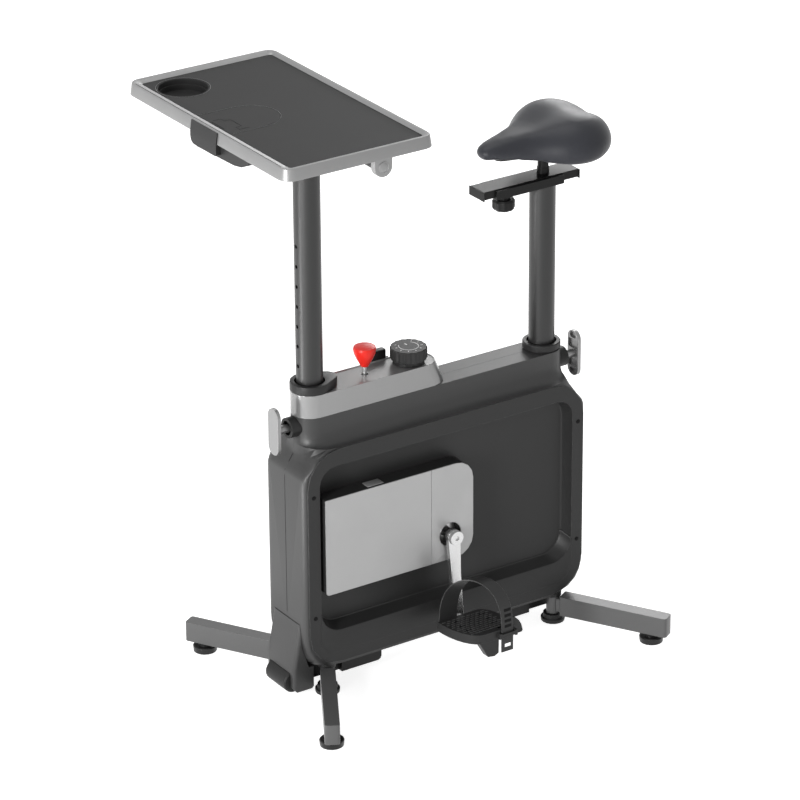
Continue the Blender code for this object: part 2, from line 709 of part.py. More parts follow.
def build_drive_boxes():
    """A dark box in each recess, faced by a plain silver plate and a crank plate."""
    panel = BODY_HALF_WIDTH + SEAT_GAP + COVER_THICKNESS - RECESS_DEPTH
    box_back = panel + SEAT_GAP
    box_face = PLATE_FACE - PLATE_THICKNESS - SEAT_GAP
    corners = (BOX_CORNER_FRONT, BOX_CORNER_REAR, BOX_CORNER_REAR, BOX_EDGE)
    outline = rounded_rectangle(BOX_LEFT, BOX_RIGHT, BOX_BOTTOM, BOX_TOP, corners)
    drive_box = slab("drive_box_left", outline, -box_face, -box_back, 'Y', TRIM_BLACK)
    cut(drive_box, rod("box_crank_bore", (0, -0.08, CRANK_Z), (0, -0.02, CRANK_Z), CRANK_HOLE_RADIUS))

    seam_left = BOX_SEAM - PLATE_SEAM_GAP / 2
    sharp = PLATE_SEAM_GAP / 2
    plain = rounded_rectangle(BOX_LEFT, seam_left, BOX_BOTTOM, BOX_TOP,
                              (BOX_CORNER_FRONT, sharp, sharp, BOX_EDGE))
    side_plate = slab("side_plate_left", plain, -PLATE_FACE, -(PLATE_FACE - PLATE_THICKNESS), 'Y', PLATE_SILVER)
    seam_right = BOX_SEAM + PLATE_SEAM_GAP / 2
    crank_side = rounded_rectangle(seam_right, BOX_RIGHT, BOX_BOTTOM, BOX_TOP,
                                   (sharp, BOX_CORNER_REAR, BOX_CORNER_REAR, sharp))
    crank_plate = slab("crank_plate_left", crank_side, -PLATE_FACE, -(PLATE_FACE - PLATE_THICKNESS), 'Y',
                       PLATE_SILVER)
    inner = PLATE_FACE - PLATE_THICKNESS
    dish = turned("crank_hole_form", [(0.0, 0.02), (CRANK_HOLE_RADIUS + CRANK_HOLE_DISH * 2, 0.02),
                                      (CRANK_HOLE_RADIUS + CRANK_HOLE_DISH, PLATE_THICKNESS),
                                      (CRANK_HOLE_RADIUS + 0.001, PLATE_THICKNESS * 0.6),
                                      (CRANK_HOLE_RADIUS, 0.0), (CRANK_HOLE_RADIUS, -0.01), (0.0, -0.01)],
                  (0, -inner, CRANK_Z), '-Y')
    cut(crank_plate, dish)
    pairs = [(piece, mirrored(piece, piece.name.replace("left", "right")))
             for piece in (drive_box, side_plate, crank_plate)]
    return pairs


def build_console():
    """The silver console: a capsule plan whose rear end rakes forward as it rises."""
    def ring(inset, end_x, z):
        radius = NECK_RADIUS - inset
        outline = arc((end_x, 0), radius, -90, 90, 8) + arc((-POST_X, 0), radius, 90, 270, 8)
        return [(x, y, z) for x, y in outline]

    bottom = NECK_TOP + SEAT_GAP
    rings = [ring(0.0, CONSOLE_END_BOTTOM, bottom), ring(0.0, CONSOLE_END_TOP, CONSOLE_TOP - 0.0005),
             ring(0.0005, CONSOLE_END_TOP, CONSOLE_TOP), ring(CONSOLE_RIM, CONSOLE_END_TOP, CONSOLE_TOP),
             ring(CONSOLE_RIM + 0.001, CONSOLE_END_TOP, CONSOLE_TOP - CONSOLE_DISH)]
    console = loft("console", rings, CONSOLE_SILVER)
    cut(console, post_bore("console_post_bore", -1, NECK_TOP - 0.01, CONSOLE_TOP + 0.01))
    cut(console, rod("brake_stem_bore", (BRAKE_X, 0, NECK_TOP - 0.01), (BRAKE_X, 0, CONSOLE_TOP + 0.01),
                     BRAKE_STEM_RADIUS + SLIDE_GAP, steps=TINY_STEPS))
    cut(console, rod("brake_well", (BRAKE_X, 0, CONSOLE_TOP - BRAKE_WELL_DEPTH),
                     (BRAKE_X, 0, CONSOLE_TOP + 0.01), BRAKE_WELL_RADIUS, steps=TINY_STEPS))
    cut(console, rod("dial_shaft_bore", (DIAL_X, 0, NECK_TOP - 0.01), (DIAL_X, 0, CONSOLE_TOP + 0.01),
                     DIAL_SHAFT_RADIUS + SLIDE_GAP, steps=TINY_STEPS))
    return console


def build_collars():
    """The egg-shaped collar on the console and the ring collar on the neck's rear end."""
    def egg(inset, z):
        outline = capsule((-POST_X, 0.0, COLLAR_RADIUS - inset),
                          (COLLAR_NOSE_X, 0.0, COLLAR_NOSE_RADIUS - inset), 10)
        return [(x, y, z) for x, y in outline]

    edge = 0.0015
    front = loft("front_collar", [egg(0.0, CONSOLE_TOP + SEAT_GAP), egg(0.0, COLLAR_TOP - edge),
                                  egg(edge * 0.3, COLLAR_TOP - edge * 0.3), egg(edge, COLLAR_TOP)], TRIM_BLACK)
    cut(front, post_bore("collar_post_bore", -1, CONSOLE_TOP - 0.01, COLLAR_TOP + 0.01))

    bore = sleeve_radius() + SEAT_GAP
    foot = NECK_TOP + SEAT_GAP
    profile = [(NECK_RADIUS - 0.0015, REAR_COLLAR_TOP), (NECK_RADIUS, REAR_COLLAR_TOP - 0.0015),
               (NECK_RADIUS, REAR_COLLAR_LIP), (NECK_RADIUS - 0.0025, REAR_COLLAR_LIP),
               (NECK_RADIUS - 0.0025, foot), (bore, foot), (bore, REAR_COLLAR_TOP)]
    rear = turned("rear_collar", profile, (POST_X, 0, 0), 'Z', TRIM_BLACK)
    return front, rear


def build_sleeve(label, side, top):
    """A guide tube that lines the housing round a post, with a hole for the clamp pin."""
    inner = POST_RADIUS + SLIDE_GAP
    outer = sleeve_radius()
    profile = [(outer, top), (outer, SLEEVE_BOTTOM), (inner, SLEEVE_BOTTOM), (inner, top)]
    sleeve = turned(f"{label}_sleeve", profile, (side * POST_X, 0, 0), 'Z', TRIM_BLACK)
    return cut(sleeve, clamp_bore(f"{label}_sleeve_pin_bore", side))


def build_clamp(label, side):
    """A clamp boss seated on the neck's round end, and the T-handle that turns in it."""
    z = clamp_height(side)
    boss_start = side * (POST_X + sleeve_radius() + CLAMP_BOSS_SETBACK)
    boss = rod(f"{label}_clamp_boss", (boss_start, 0, z), (side * CLAMP_FACE, 0, z), CLAMP_BOSS_RADIUS,
               TRIM_BLACK)
    cut(boss, rod(f"{label}_boss_recess", (side * (CLAMP_FACE - CLAMP_RECESS_DEPTH), 0, z),
                  (side * (CLAMP_FACE + 0.01), 0, z), CLAMP_RECESS_RADIUS, steps=SMALL_STEPS))
    cut(boss, clamp_bore(f"{label}_boss_bore", side))

    outline = rounded_rectangle(-PADDLE_WIDTH / 2, PADDLE_WIDTH / 2, z - PADDLE_HEIGHT / 2,
                                z + PADDLE_HEIGHT / 2, PADDLE_WIDTH / 2 - 0.001, 5)
    inner = side * PADDLE_INNER
    outer = side * (PADDLE_INNER + PADDLE_THICKNESS)
    handle = slab(f"{label}_clamp_handle", outline, min(inner, outer), max(inner, outer), 'X', STEEL)
    width = PADDLE_WIDTH / 2 - PADDLE_WALL
    depth = sorted((inner - side * PADDLE_THICKNESS, outer - side * PADDLE_RIB))
    for rise in (-1, 1):
        near_z = z + rise * (CLAMP_STEM_RADIUS + 0.002)
        rib_z = z + rise * PADDLE_HEIGHT * 0.32
        far_z = z + rise * (PADDLE_HEIGHT / 2 - PADDLE_WALL)
        lower = sorted((near_z, rib_z - rise * PADDLE_RIB / 2))
        upper = sorted((rib_z + rise * PADDLE_RIB / 2, far_z))
        level = "upper" if rise > 0 else "lower"
        plain = rounded_rectangle(-width, width, lower[0], lower[1], 0.002, 1)
        end = rounded_rectangle(-width + 0.0045, width - 0.0045, upper[0], upper[1], 0.0035, 1)
        cut(handle, slab(f"{label}_{level}_pocket", plain, depth[0], depth[1], 'X'))
        cut(handle, slab(f"{label}_{level}_end_pocket", end, depth[0], depth[1], 'X'))
    pin_tip = POST_X + POST_RADIUS + SLIDE_GAP
    stem_tip = POST_X + NECK_RADIUS - 0.004
    join(handle, turned(f"{label}_clamp_stem",
                        [(0.0, PADDLE_INNER + 0.003), (CLAMP_STEM_RADIUS, PADDLE_INNER + 0.003),
                         (CLAMP_STEM_RADIUS, stem_tip), (CLAMP_PIN_RADIUS, stem_tip),
                         (CLAMP_PIN_RADIUS, pin_tip), (0.0, pin_tip)],
                        (0, 0, z), along('X', side), steps=TINY_STEPS))
    pivot(f"{label}_clamp_axis", (side * PADDLE_INNER, 0, z), handle)
    return boss, handle


def build_brake_knob():
    """The press knob: a tapered red grip with a domed top on a thin steel stem."""
    stem_bottom = NECK_TOP + 0.014
    taper = BRAKE_KNOB_TOP - BRAKE_KNOB_BOTTOM
    profile = [(0.0, BRAKE_KNOB_TOP), (BRAKE_KNOB_RADIUS * 0.62, BRAKE_KNOB_TOP - 0.0006),
               (BRAKE_KNOB_RADIUS * 0.93, BRAKE_KNOB_TOP - 0.0028),
               (BRAKE_KNOB_RADIUS, BRAKE_KNOB_TOP - 0.0065),
               (BRAKE_KNOB_RADIUS * 0.93, BRAKE_KNOB_TOP - taper * 0.36),
               (BRAKE_KNOB_RADIUS * 0.72, BRAKE_KNOB_TOP - taper * 0.62),
               (BRAKE_KNOB_RADIUS * 0.46, BRAKE_KNOB_TOP - taper * 0.86),
               (BRAKE_KNOB_RADIUS * 0.38, BRAKE_KNOB_BOTTOM + 0.001),
               (BRAKE_KNOB_RADIUS * 0.32, BRAKE_KNOB_BOTTOM),
               (BRAKE_STEM_RADIUS, BRAKE_KNOB_BOTTOM), (BRAKE_STEM_RADIUS, stem_bottom), (0.0, stem_bottom)]
    knob = turned("brake_knob", profile, (BRAKE_X, 0, 0), 'Z', BRAKE_RED, steps=SMALL_STEPS)
    pivot("brake_axis", (BRAKE_X, 0, CONSOLE_TOP), knob)
    return knob


def fluted_outline(radius, flutes, depth):
    """A circle with shallow round flutes cut into it."""
    points = []
    steps = flutes * 3
    for i in range(steps):
        notch = depth if i % 3 == 0 else 0.0
        angle = math.tau * i / steps
        points.append(((radius - notch) * math.cos(angle), (radius - notch) * math.sin(angle)))
    return points


def build_dial():
    """The fluted resistance dial, with its skirt and its shaft into the console."""
    grip = fluted_outline(DIAL_RADIUS, DIAL_FLUTES, DIAL_FLUTE_DEPTH)
    chamfer = 0.0015
    shrink = 1 - chamfer / DIAL_RADIUS
    rings = [[(DIAL_X + u * s, v * s, z) for u, v in grip]
             for s, z in ((shrink, DIAL_BOTTOM), (1, DIAL_BOTTOM + chamfer), (1, DIAL_TOP - chamfer),
                          (shrink, DIAL_TOP))]
    dial = loft("resistance_dial", rings, TRIM_BLACK)
    skirt_bottom = CONSOLE_TOP - CONSOLE_DISH + SEAT_GAP
    profile = [(0.0, DIAL_TOP - 0.008), (DIAL_RADIUS * 0.86, DIAL_TOP - 0.008),
               (DIAL_RADIUS * 0.86, skirt_bottom), (DIAL_SHAFT_RADIUS, skirt_bottom),
               (DIAL_SHAFT_RADIUS, NECK_TOP + 0.012), (0.0, NECK_TOP + 0.012)]
    join(dial, turned("dial_skirt", profile, (DIAL_X, 0, 0), 'Z', steps=SMALL_STEPS))
    pivot("dial_axis", (DIAL_X, 0, DIAL_BOTTOM), dial)
    return dial


def build_side_clip():
    """The small dark block that stands behind the console's far edge."""
    near = NECK_RADIUS + SEAT_GAP
    clip = box("side_clip", (-0.110, near, CONSOLE_TOP - 0.022), (-0.067, near + 0.014, COLLAR_TOP + 0.001),
               TRIM_BLACK)
    return round_edges(clip, 0.003, 2)


def build_bracket_and_axle():
    """The bottom bracket tube through the housing and the crank axle that runs in it."""
    bore = AXLE_RADIUS + SLIDE_GAP
    shell = CRANK_HOLE_RADIUS - SEAT_GAP
    half = BRACKET_HALF_WIDTH
    profile = [(shell, half), (shell, -half), (bore, -half), (bore, half)]
    bracket = turned("bottom_bracket", profile, (0, 0, CRANK_Z), 'Y', STEEL)
    tip = ARM_INNER + 0.008
    shoulder = ARM_INNER - SEAT_GAP
    steps = [(0.0, tip), (AXLE_END_RADIUS, tip), (AXLE_END_RADIUS, shoulder), (AXLE_RADIUS, shoulder)]
    profile = steps + [(radius, -y) for radius, y in reversed(steps)]
    axle = turned("crank_axle", profile, (0, 0, CRANK_Z), 'Y', STEEL, steps=SMALL_STEPS)
    return bracket, axle


def arm_outline(sign):
    """Side view of a crank arm: round hub, narrow waist, round pedal end."""
    end_z = CRANK_Z + sign * CRANK_LENGTH
    hub = arc((0, CRANK_Z), ARM_HUB_RADIUS, 200, -20, 7)
    tail = arc((0, end_z), ARM_END_RADIUS, 10, -190, 7)
    waist_z = CRANK_Z - CRANK_LENGTH * 0.45
    right = [(ARM_WAIST, waist_z)]
    left = [(-ARM_WAIST, waist_z)]
    if sign > 0:
        hub = [(x, 2 * CRANK_Z - z) for x, z in hub]
        tail = [(x, end_z - (z - end_z)) for x, z in tail]
        right = [(x, 2 * CRANK_Z - z) for x, z in right]
        left = [(x, 2 * CRANK_Z - z) for x, z in left]
    return hub + right + tail + left


def build_crank_arm(label, side, sign):
    """An arm that splays outward to its pedal, with its cap, axle socket and pedal spindle."""
    arm = slab(f"crank_arm_{label}", arm_outline(sign), ARM_INNER, ARM_INNER + ARM_THICKNESS, 'Y', ALUMINIUM)
    for vert in arm.data.vertices:
        vert.co.y += ARM_SPLAY * abs(vert.co.z - CRANK_Z) / CRANK_LENGTH
        vert.co.y *= side
    if side < 0:
        arm.data.flip_normals()
    round_edges(arm, 0.0012, 1)
    face = ARM_INNER + ARM_THICKNESS
    hub = rod(f"hub_boss_{label}", (0, side * (ARM_INNER - 0.0002), CRANK_Z),
              (0, side * (face + CAP_HEIGHT), CRANK_Z), ARM_HUB_RADIUS - 0.0004, steps=SMALL_STEPS)
    join(arm, hub)
    cut(arm, rod(f"axle_socket_{label}", (0, side * (ARM_INNER - 0.01), CRANK_Z),
                 (0, side * (ARM_INNER + 0.0085), CRANK_Z), AXLE_END_RADIUS + SEAT_GAP, steps=TINY_STEPS))
    cut(arm, rod(f"cap_socket_{label}", (0, side * (face + CAP_HEIGHT - 0.003), CRANK_Z),
                 (0, side * (face + CAP_HEIGHT + 0.01), CRANK_Z), CAP_SOCKET_RADIUS, steps=6))
    end_z = CRANK_Z + sign * CRANK_LENGTH
    spindle_start = face + ARM_SPLAY - 0.006
    collar_end = PEDAL_INNER - 0.001
    profile = [(0.0, SPINDLE_TIP), (SPINDLE_RADIUS, SPINDLE_TIP), (SPINDLE_RADIUS, collar_end),
               (SPINDLE_COLLAR_RADIUS, collar_end), (SPINDLE_COLLAR_RADIUS, spindle_start),
               (0.0, spindle_start)]
    spindle = turned(f"spindle_{label}", profile, (0, 0, end_z), along('Y', side), steps=TINY_STEPS)
    join(arm, spindle)
    return arm


def pedal_outline():
    """Plan of the left pedal: swept front edge, straight outer side, swept inner rear corner."""
    inner, outer = -PEDAL_INNER, -PEDAL_OUTER
    outline = []
    for i in range(9):
        angle = math.pi / 2 * i / 8
        outline.append((PEDAL_FRONT_OUTER + (PEDAL_FRONT - PEDAL_FRONT_OUTER) * math.cos(angle),
                        inner + (outer - inner) * math.sin(angle)))
    outline += arc((PEDAL_REAR_OUTER - PEDAL_CORNER, outer + PEDAL_CORNER), PEDAL_CORNER, -90, 0, 4)
    for i in range(7):
        angle = math.pi / 2 * i / 6
        outline.append((PEDAL_REAR - PEDAL_CORNER_LENGTH * (1 - math.cos(angle)),
                        inner - PEDAL_CORNER_WIDTH * (1 - math.sin(angle))))
    return outline


def mirrored_box(name, side, x, y, z):
    """A box given by its ranges in x, y and z, with y counted outward on one side of the bike."""
    near, far = sorted((side * y[0], side * y[1]))
    return box(name, (x[0], near, z[0]), (x[1], far, z[1]))


def mirrored_slab(name, side, outline, y):
    """An outline in X and Z given thickness outward on one side of the bike."""
    near, far = sorted((side * y[0], side * y[1]))
    return slab(name, outline, near, far, 'Y')


def build_pedal(label, side, sign):
    """A platform on a spindle barrel, slotted for grip, with a weight block that keeps it level."""
    spindle_z = CRANK_Z + sign * CRANK_LENGTH
    top = spindle_z + PEDAL_RISE
    low = top - PEDAL_THICKNESS
    pedal = slab(f"pedal_{label}", [(x, -side * y) for x, y in pedal_outline()], low, top, 'Z', PEDAL_BLACK)
    barrel = mirrored_box(f"barrel_{label}", side, (-0.013, 0.013), (PEDAL_INNER, PEDAL_OUTER - 0.004),
                          (spindle_z - 0.0125, top - 0.0005))
    join(pedal, round_edges(barrel, 0.004, 1))
    drop = spindle_z - BLOCK_DROP
    block = [(-0.0235, low + 0.002), (-0.0041, drop + 0.0023), (0.0107, drop), (0.0198, drop + 0.0047),
             (0.0203, low + 0.002)]
    join(pedal, mirrored_slab(f"weight_block_{label}", side, block, (BLOCK_INNER, PEDAL_OUTER - 0.0007)))
    crest = spindle_z + FIN_RISE
    fin = [(0.050, low + 0.0005), (FIN_REACH - 0.0023, low + 0.0007), (FIN_REACH, low + 0.004),
           (FIN_REACH - 0.0035, crest - 0.019), (FIN_REACH - 0.0093, crest - 0.009),
           (FIN_REACH - 0.0185, crest), (0.050, crest)]
    fin_face = PEDAL_OUTER - 0.0003
    join(pedal, mirrored_slab(f"fin_{label}", side, fin, (fin_face - FIN_THICKNESS, fin_face)))
    buckle = (PEDAL_OUTER - 0.004, PEDAL_OUTER + 0.0075)
    buckle_front, buckle_rear = STRAP_OUTER_EDGES[0] - 0.007, STRAP_OUTER_EDGES[1] + 0.0075
    for place, start in (("front", buckle_front), ("rear", buckle_rear - BUCKLE_CHEEK)):
        join(pedal, mirrored_box(f"buckle_{place}_{label}", side, (start, start + BUCKLE_CHEEK), buckle,
                                 (low + 0.002, low + 0.013)))
    join(pedal, mirrored_box(f"buckle_bridge_{label}", side, (buckle_front, buckle_rear),
                             (PEDAL_OUTER + 0.0045, buckle[1]), (low + 0.004, low + 0.011)))
    for row in range(4):
        y = PEDAL_INNER + 0.018 + row * 0.021
        columns = [("rear", (0.0235, 0.042))] + ([("front", (-0.036, -0.018))] if row < 3 else [])
        for place, x in columns:
            cut(pedal, mirrored_box(f"tread_slot_{place}_{label}_{row}", side, x, (y - 0.004, y + 0.004),
                                    (low - 0.03, top + 0.01)))
    cut(pedal, rod(f"spindle_bore_{label}", (0, side * (PEDAL_INNER - 0.01), spindle_z),
                   (0, side * (SPINDLE_TIP + 0.0065), spindle_z), SPINDLE_RADIUS + SLIDE_GAP, steps=TINY_STEPS))
    return pedal


def strap_edge(share, inner_x, outer_x, rise, base_z):
    """One edge of the strap's arch, from the pedal's inner side to its outer side."""
    inner_y = PEDAL_INNER - SEAT_GAP - STRAP_THICKNESS / 2
    outer_y = PEDAL_OUTER + SEAT_GAP + STRAP_THICKNESS / 2 + 0.001
    across = (1 - math.cos(math.pi * share)) / 2
    x = inner_x + (outer_x - inner_x) * across
    y = inner_y + (outer_y - inner_y) * across
    z = base_z + rise * math.sin(math.pi * share) ** 0.75
    return x, y, z


def build_strap(label, side, sign):
    """A toe strap that arches over the pedal, narrows to its outer end and hangs as a slotted tab."""
    spindle_z = CRANK_Z + sign * CRANK_LENGTH
    base_z = spindle_z + PEDAL_RISE - 0.006
    rise = STRAP_RISE - PEDAL_RISE + 0.006
    steps = 16
    columns = 2
    edges = list(zip(STRAP_INNER_EDGES, STRAP_OUTER_EDGES))

    def row(share, lift):
        return [strap_edge(share, first, last, lift * keep, base_z)
                for (first, last), keep in zip(edges, (1, 0.97))]

    def hang(share, drop):
        return [(x, y, z - drop) for x, y, z in row(share, 0.0)]

    rows = [hang(0.0, 0.010), hang(0.0, 0.004)]
    rows += [row(i / steps, rise) for i in range(steps + 1)]
    rows += [hang(1.0, STRAP_TAB_DROP * share) for share in (0.2, 0.55, 1.0)]
    bm = bmesh.new()
    grid = []
    for near, far in rows:
        near, far = Vector(near), Vector(far)
        near.y *= side
        far.y *= side
        grid.append([bm.verts.new(near.lerp(far, c / columns)) for c in range(columns + 1)])
    for first, second in zip(grid, grid[1:]):
        for c in range(columns):
            bm.faces.new((first[c], first[c + 1], second[c + 1], second[c]))
    bmesh.ops.recalc_face_normals(bm, faces=bm.faces)
    mesh = bpy.data.meshes.new(f"strap_{label}")
    bm.to_mesh(mesh)
    bm.free()
    strap = add_object(f"strap_{label}", mesh, STRAP_BLACK)
    solidify = strap.modifiers.new("thickness", 'SOLIDIFY')
    solidify.thickness = STRAP_THICKNESS
    solidify.offset = 0.0
    tab = base_z - STRAP_TAB_DROP
    front, rear = STRAP_OUTER_EDGES
    slot = mirrored_box(f"tab_slot_{label}", side, (front + 0.007, rear - 0.0045),
                        (PEDAL_OUTER - 0.01, PEDAL_OUTER + 0.01), (tab + 0.0085, tab + 0.0165))
    return cut(strap, slot)


def build_crank():
    bracket, axle = build_bracket_and_axle()
    pieces = [axle]
    pedals = []
    for label, side, sign in (("left", -1, -1), ("right", 1, 1)):
        pieces.append(build_crank_arm(label, side, sign))
        pedal = build_pedal(label, side, sign)
        strap = build_strap(label, side, sign)
        axis = (0, side * PEDAL_INNER, CRANK_Z + sign * CRANK_LENGTH)
        pivot(f"pedal_{label}_axis", axis, pedal, strap)
        pedals += [pedal, strap]
    pivot("crank_axis", (0, 0, CRANK_Z), *pieces)
    return bracket, pieces, pedals


def build_post(name, side, top, bottom, material):
    """A steel tube, closed at its top and open at its foot."""
    bore = POST_RADIUS - POST_WALL
    profile = [(0.0, top), (POST_RADIUS - 0.0005, top), (POST_RADIUS, top - 0.0005), (POST_RADIUS, bottom),
               (bore, bottom), (bore, top - POST_CAP), (0.0, top - POST_CAP)]
    return turned(name, profile, (side * POST_X, 0, 0), 'Z', material)


def build_front_post():
    """The desk post with its row of adjustment holes on the front."""
    post = build_post("front_post", -1, FRONT_POST_TOP, POST_BOTTOM, POST_BLACK)
    for i in range(POST_HOLE_COUNT):
        z = FRONT_CLAMP_Z + i * POST_HOLE_PITCH
        cut(post, rod(f"post_hole_{i}", (-POST_X - 0.035, 0, z), (-POST_X - 0.012, 0, z), POST_HOLE_RADIUS,
                      steps=8))
    return post


def tray_ring(inset, z):
    """The tray's rounded plan at height z, drawn in from its outer edge by inset."""
    outline = rounded_rectangle(DESK_FRONT + inset, DESK_REAR - inset, -DESK_HALF_WIDTH + inset,
                                DESK_HALF_WIDTH - inset, DESK_CORNER - inset)
    return [(x, y, z) for x, y in outline]


def inlay_outline(gap):
    return rounded_rectangle(INLAY_FRONT + gap, INLAY_REAR - gap, -INLAY_HALF_WIDTH + gap,
                             INLAY_HALF_WIDTH - gap, INLAY_CORNER)


def cup_shell():
    """Outer radius of the cup holder just below its flange."""
    return CUP_LEDGE_RADIUS + CUP_WALL + 0.0025


def build_tray():
    """The silver tray: flat rim, sunk floor for the inlay, hollow underside and cup hole."""
    edge = 0.0015
    floor = INLAY_TOP - INLAY_THICKNESS - SEAT_GAP
    rings = [tray_ring(-DESK_FLARE, DESK_BOTTOM), tray_ring(0.0, DESK_TOP - edge), tray_ring(edge, DESK_TOP),
             tray_ring(DESK_RIM, DESK_TOP), [(x, y, INLAY_TOP) for x, y in inlay_outline(0.0)],
             [(x, y, floor) for x, y in inlay_outline(0.0)]]
    tray = loft("desk_tray", rings, TRAY_SILVER)
    cavity = [(x, y) for x, y, _ in tray_ring(DESK_WALL, DESK_BOTTOM)]
    cut(tray, slab("tray_cavity", cavity, DESK_BOTTOM - 0.01, DESK_WEB_BOTTOM, 'Z'))
    return cut(tray, rod("cup_hole", (CUP_X, CUP_Y, DESK_BOTTOM), (CUP_X, CUP_Y, DESK_TOP),
                         cup_shell() + SEAT_GAP))


def flap_outline(grow):
    radius = FLAP_HALF_WIDTH + grow
    return [(FLAP_HINGE_X - grow, radius), (FLAP_HINGE_X - grow, -radius)] + \
        arc((FLAP_ARC_X, 0), radius, -90, 90, 14)


def build_inlay():
    """The dark work surface, cut out for the cup insert and the flap."""
    outline = inlay_outline(SEAT_GAP)
    bottom = INLAY_TOP - INLAY_THICKNESS
    inlay = slab("desk_inlay", outline, bottom, INLAY_TOP, 'Z', INLAY_GREY)
    cut(inlay, rod("inlay_cup_hole", (CUP_X, CUP_Y, bottom - 0.01), (CUP_X, CUP_Y, INLAY_TOP + 0.01),
                   CUP_RADIUS + SEAT_GAP))
    pocket = slab("flap_pocket", flap_outline(0.0006), bottom - 0.01, INLAY_TOP + 0.01, 'Z')
    return cut(inlay, pocket)


def build_cup():
    """The cup holder: a flange in the inlay, a ledge, and a narrower round floor below it."""
    bottom = INLAY_TOP - CUP_DEPTH
    ledge = INLAY_TOP - CUP_LEDGE_DEPTH
    flange = INLAY_TOP - INLAY_THICKNESS
    shell = cup_shell()
    bore = shell - CUP_WALL
    foot = CUP_LEDGE_RADIUS + CUP_WALL
    inside = [(0.0, bottom), (CUP_LEDGE_RADIUS - 0.003, bottom), (CUP_LEDGE_RADIUS - 0.001, bottom + 0.002),
              (CUP_LEDGE_RADIUS, ledge), (bore, ledge), (bore, INLAY_TOP - 0.001), (bore + 0.001, INLAY_TOP)]
    outside = [(CUP_RADIUS - 0.0005, INLAY_TOP), (CUP_RADIUS, INLAY_TOP - 0.0005), (CUP_RADIUS, flange),
               (shell, flange), (shell, ledge - CUP_WALL), (foot, ledge - CUP_WALL), (foot, bottom - CUP_WALL),
               (0.0, bottom - CUP_WALL)]
    return turned("cup_holder", inside + outside, (CUP_X, CUP_Y, 0), 'Z', INLAY_GREY)


def build_flap():
    """The U-shaped flap that lies in the inlay and lifts about its front edge."""
    bottom = INLAY_TOP - INLAY_THICKNESS
    flap = slab("desk_flap", flap_outline(0.0), bottom, INLAY_TOP, 'Z', INLAY_GREY)
    pivot("flap_axis", (FLAP_HINGE_X, 0, INLAY_TOP), flap)
    return flap


def build_dock():
    """The thin wrap plate on the tray's front edge and the pocket that hangs below the tray."""
    top_x = DESK_FRONT - SEAT_GAP
    low_x = DESK_FRONT - DESK_FLARE - SEAT_GAP
    tuck = DESK_FRONT + DESK_WALL
    under = WRAP_BOTTOM - 0.01
    outline = [(top_x - WRAP_THICKNESS, WRAP_TOP), (low_x - WRAP_THICKNESS, DESK_BOTTOM),
               (low_x - WRAP_THICKNESS, under), (tuck, under), (tuck, DESK_BOTTOM - SEAT_GAP),
               (low_x, DESK_BOTTOM - SEAT_GAP), (top_x, WRAP_TOP)]
    wrap = slab("dock_wrap", outline, WRAP_NEAR - 0.01, WRAP_FAR + 0.01, 'Y', TRIM_BLACK)
    face = rounded_rectangle(WRAP_NEAR, WRAP_FAR, WRAP_BOTTOM, WRAP_TOP + 0.01, (0.003, 0.013, 0.002, 0.002))
    combine(wrap, slab("wrap_face", face, DESK_FRONT - 0.03, DESK_FRONT + 0.03, 'X'), 'INTERSECT')

    front = tuck + SEAT_GAP
    top = DESK_WEB_BOTTOM - SEAT_GAP
    belly = [(DOCK_FAR, DOCK_BOTTOM), (DOCK_FAR, top), (DOCK_NEAR, top), (DOCK_NEAR, DESK_BOTTOM),
             (DOCK_NEAR + 0.008, DOCK_BOTTOM + 0.0175), (DOCK_NEAR + 0.028, DOCK_BOTTOM + 0.0085),
             (DOCK_NEAR + 0.053, DOCK_BOTTOM + 0.004)]
    pocket = slab("dock_pocket", belly, front, DOCK_REAR, 'X', TRIM_BLACK)
    return wrap, pocket


def build_crossbar():
    """The tilt crossbar: a round bar with reduced ends for the lugs, on a block over the post."""
    lug_inner = LUG_OUTER - LUG_THICKNESS
    shoulder = lug_inner - SEAT_GAP
    tip = LUG_OUTER - LUG_FACE - 0.0005
    steps = [(0.0, tip), (TILT_PIN_RADIUS, tip), (TILT_PIN_RADIUS, shoulder), (TILT_BAR_RADIUS, shoulder)]
    profile = steps + [(radius, -y) for radius, y in reversed(steps)]
    bar = turned("tilt_crossbar", profile, (TILT_X, 0, TILT_Z), 'Y', TRIM_BLACK, steps=SMALL_STEPS)
    head = box("crossbar_head", (TILT_X - 0.0135, -0.030, FRONT_POST_TOP + SEAT_GAP),
               (TILT_X + 0.0135, 0.030, TILT_Z + 0.0031))
    return join(bar, round_edges(head, 0.002, 1))


def build_lug(label, side):
    """A D-shaped hinge lug under the tray, with a blind bore that turns on the crossbar's end."""
    top = DESK_WEB_BOTTOM - SEAT_GAP
    outline = [(TILT_X + LUG_RADIUS, top), (TILT_X - LUG_RADIUS, top)]
    outline += arc((TILT_X, TILT_Z), LUG_RADIUS, 180, 360, 10)
    y = sorted((side * LUG_OUTER, side * (LUG_OUTER - LUG_THICKNESS)))
    lug = slab(f"tilt_lug_{label}", outline, y[0], y[1], 'Y', TRAY_SILVER)
    return cut(lug, rod(f"lug_bore_{label}", (TILT_X, side * (LUG_OUTER - LUG_THICKNESS - 0.01), TILT_Z),
                        (TILT_X, side * (LUG_OUTER - LUG_FACE), TILT_Z),
                        TILT_PIN_RADIUS + SLIDE_GAP, steps=SMALL_STEPS))


def build_desk():
    post = build_front_post()
    crossbar = build_crossbar()
    pivot("front_post_axis", (-POST_X, 0, CONSOLE_TOP), post, crossbar)
    pieces = [build_tray(), build_inlay(), build_cup(), *build_dock()]
    pieces += [build_lug("left", -1), build_lug("right", 1)]
    pivot("desk_tilt_axis", (TILT_X, 0, TILT_Z), *pieces)
    build_flap()


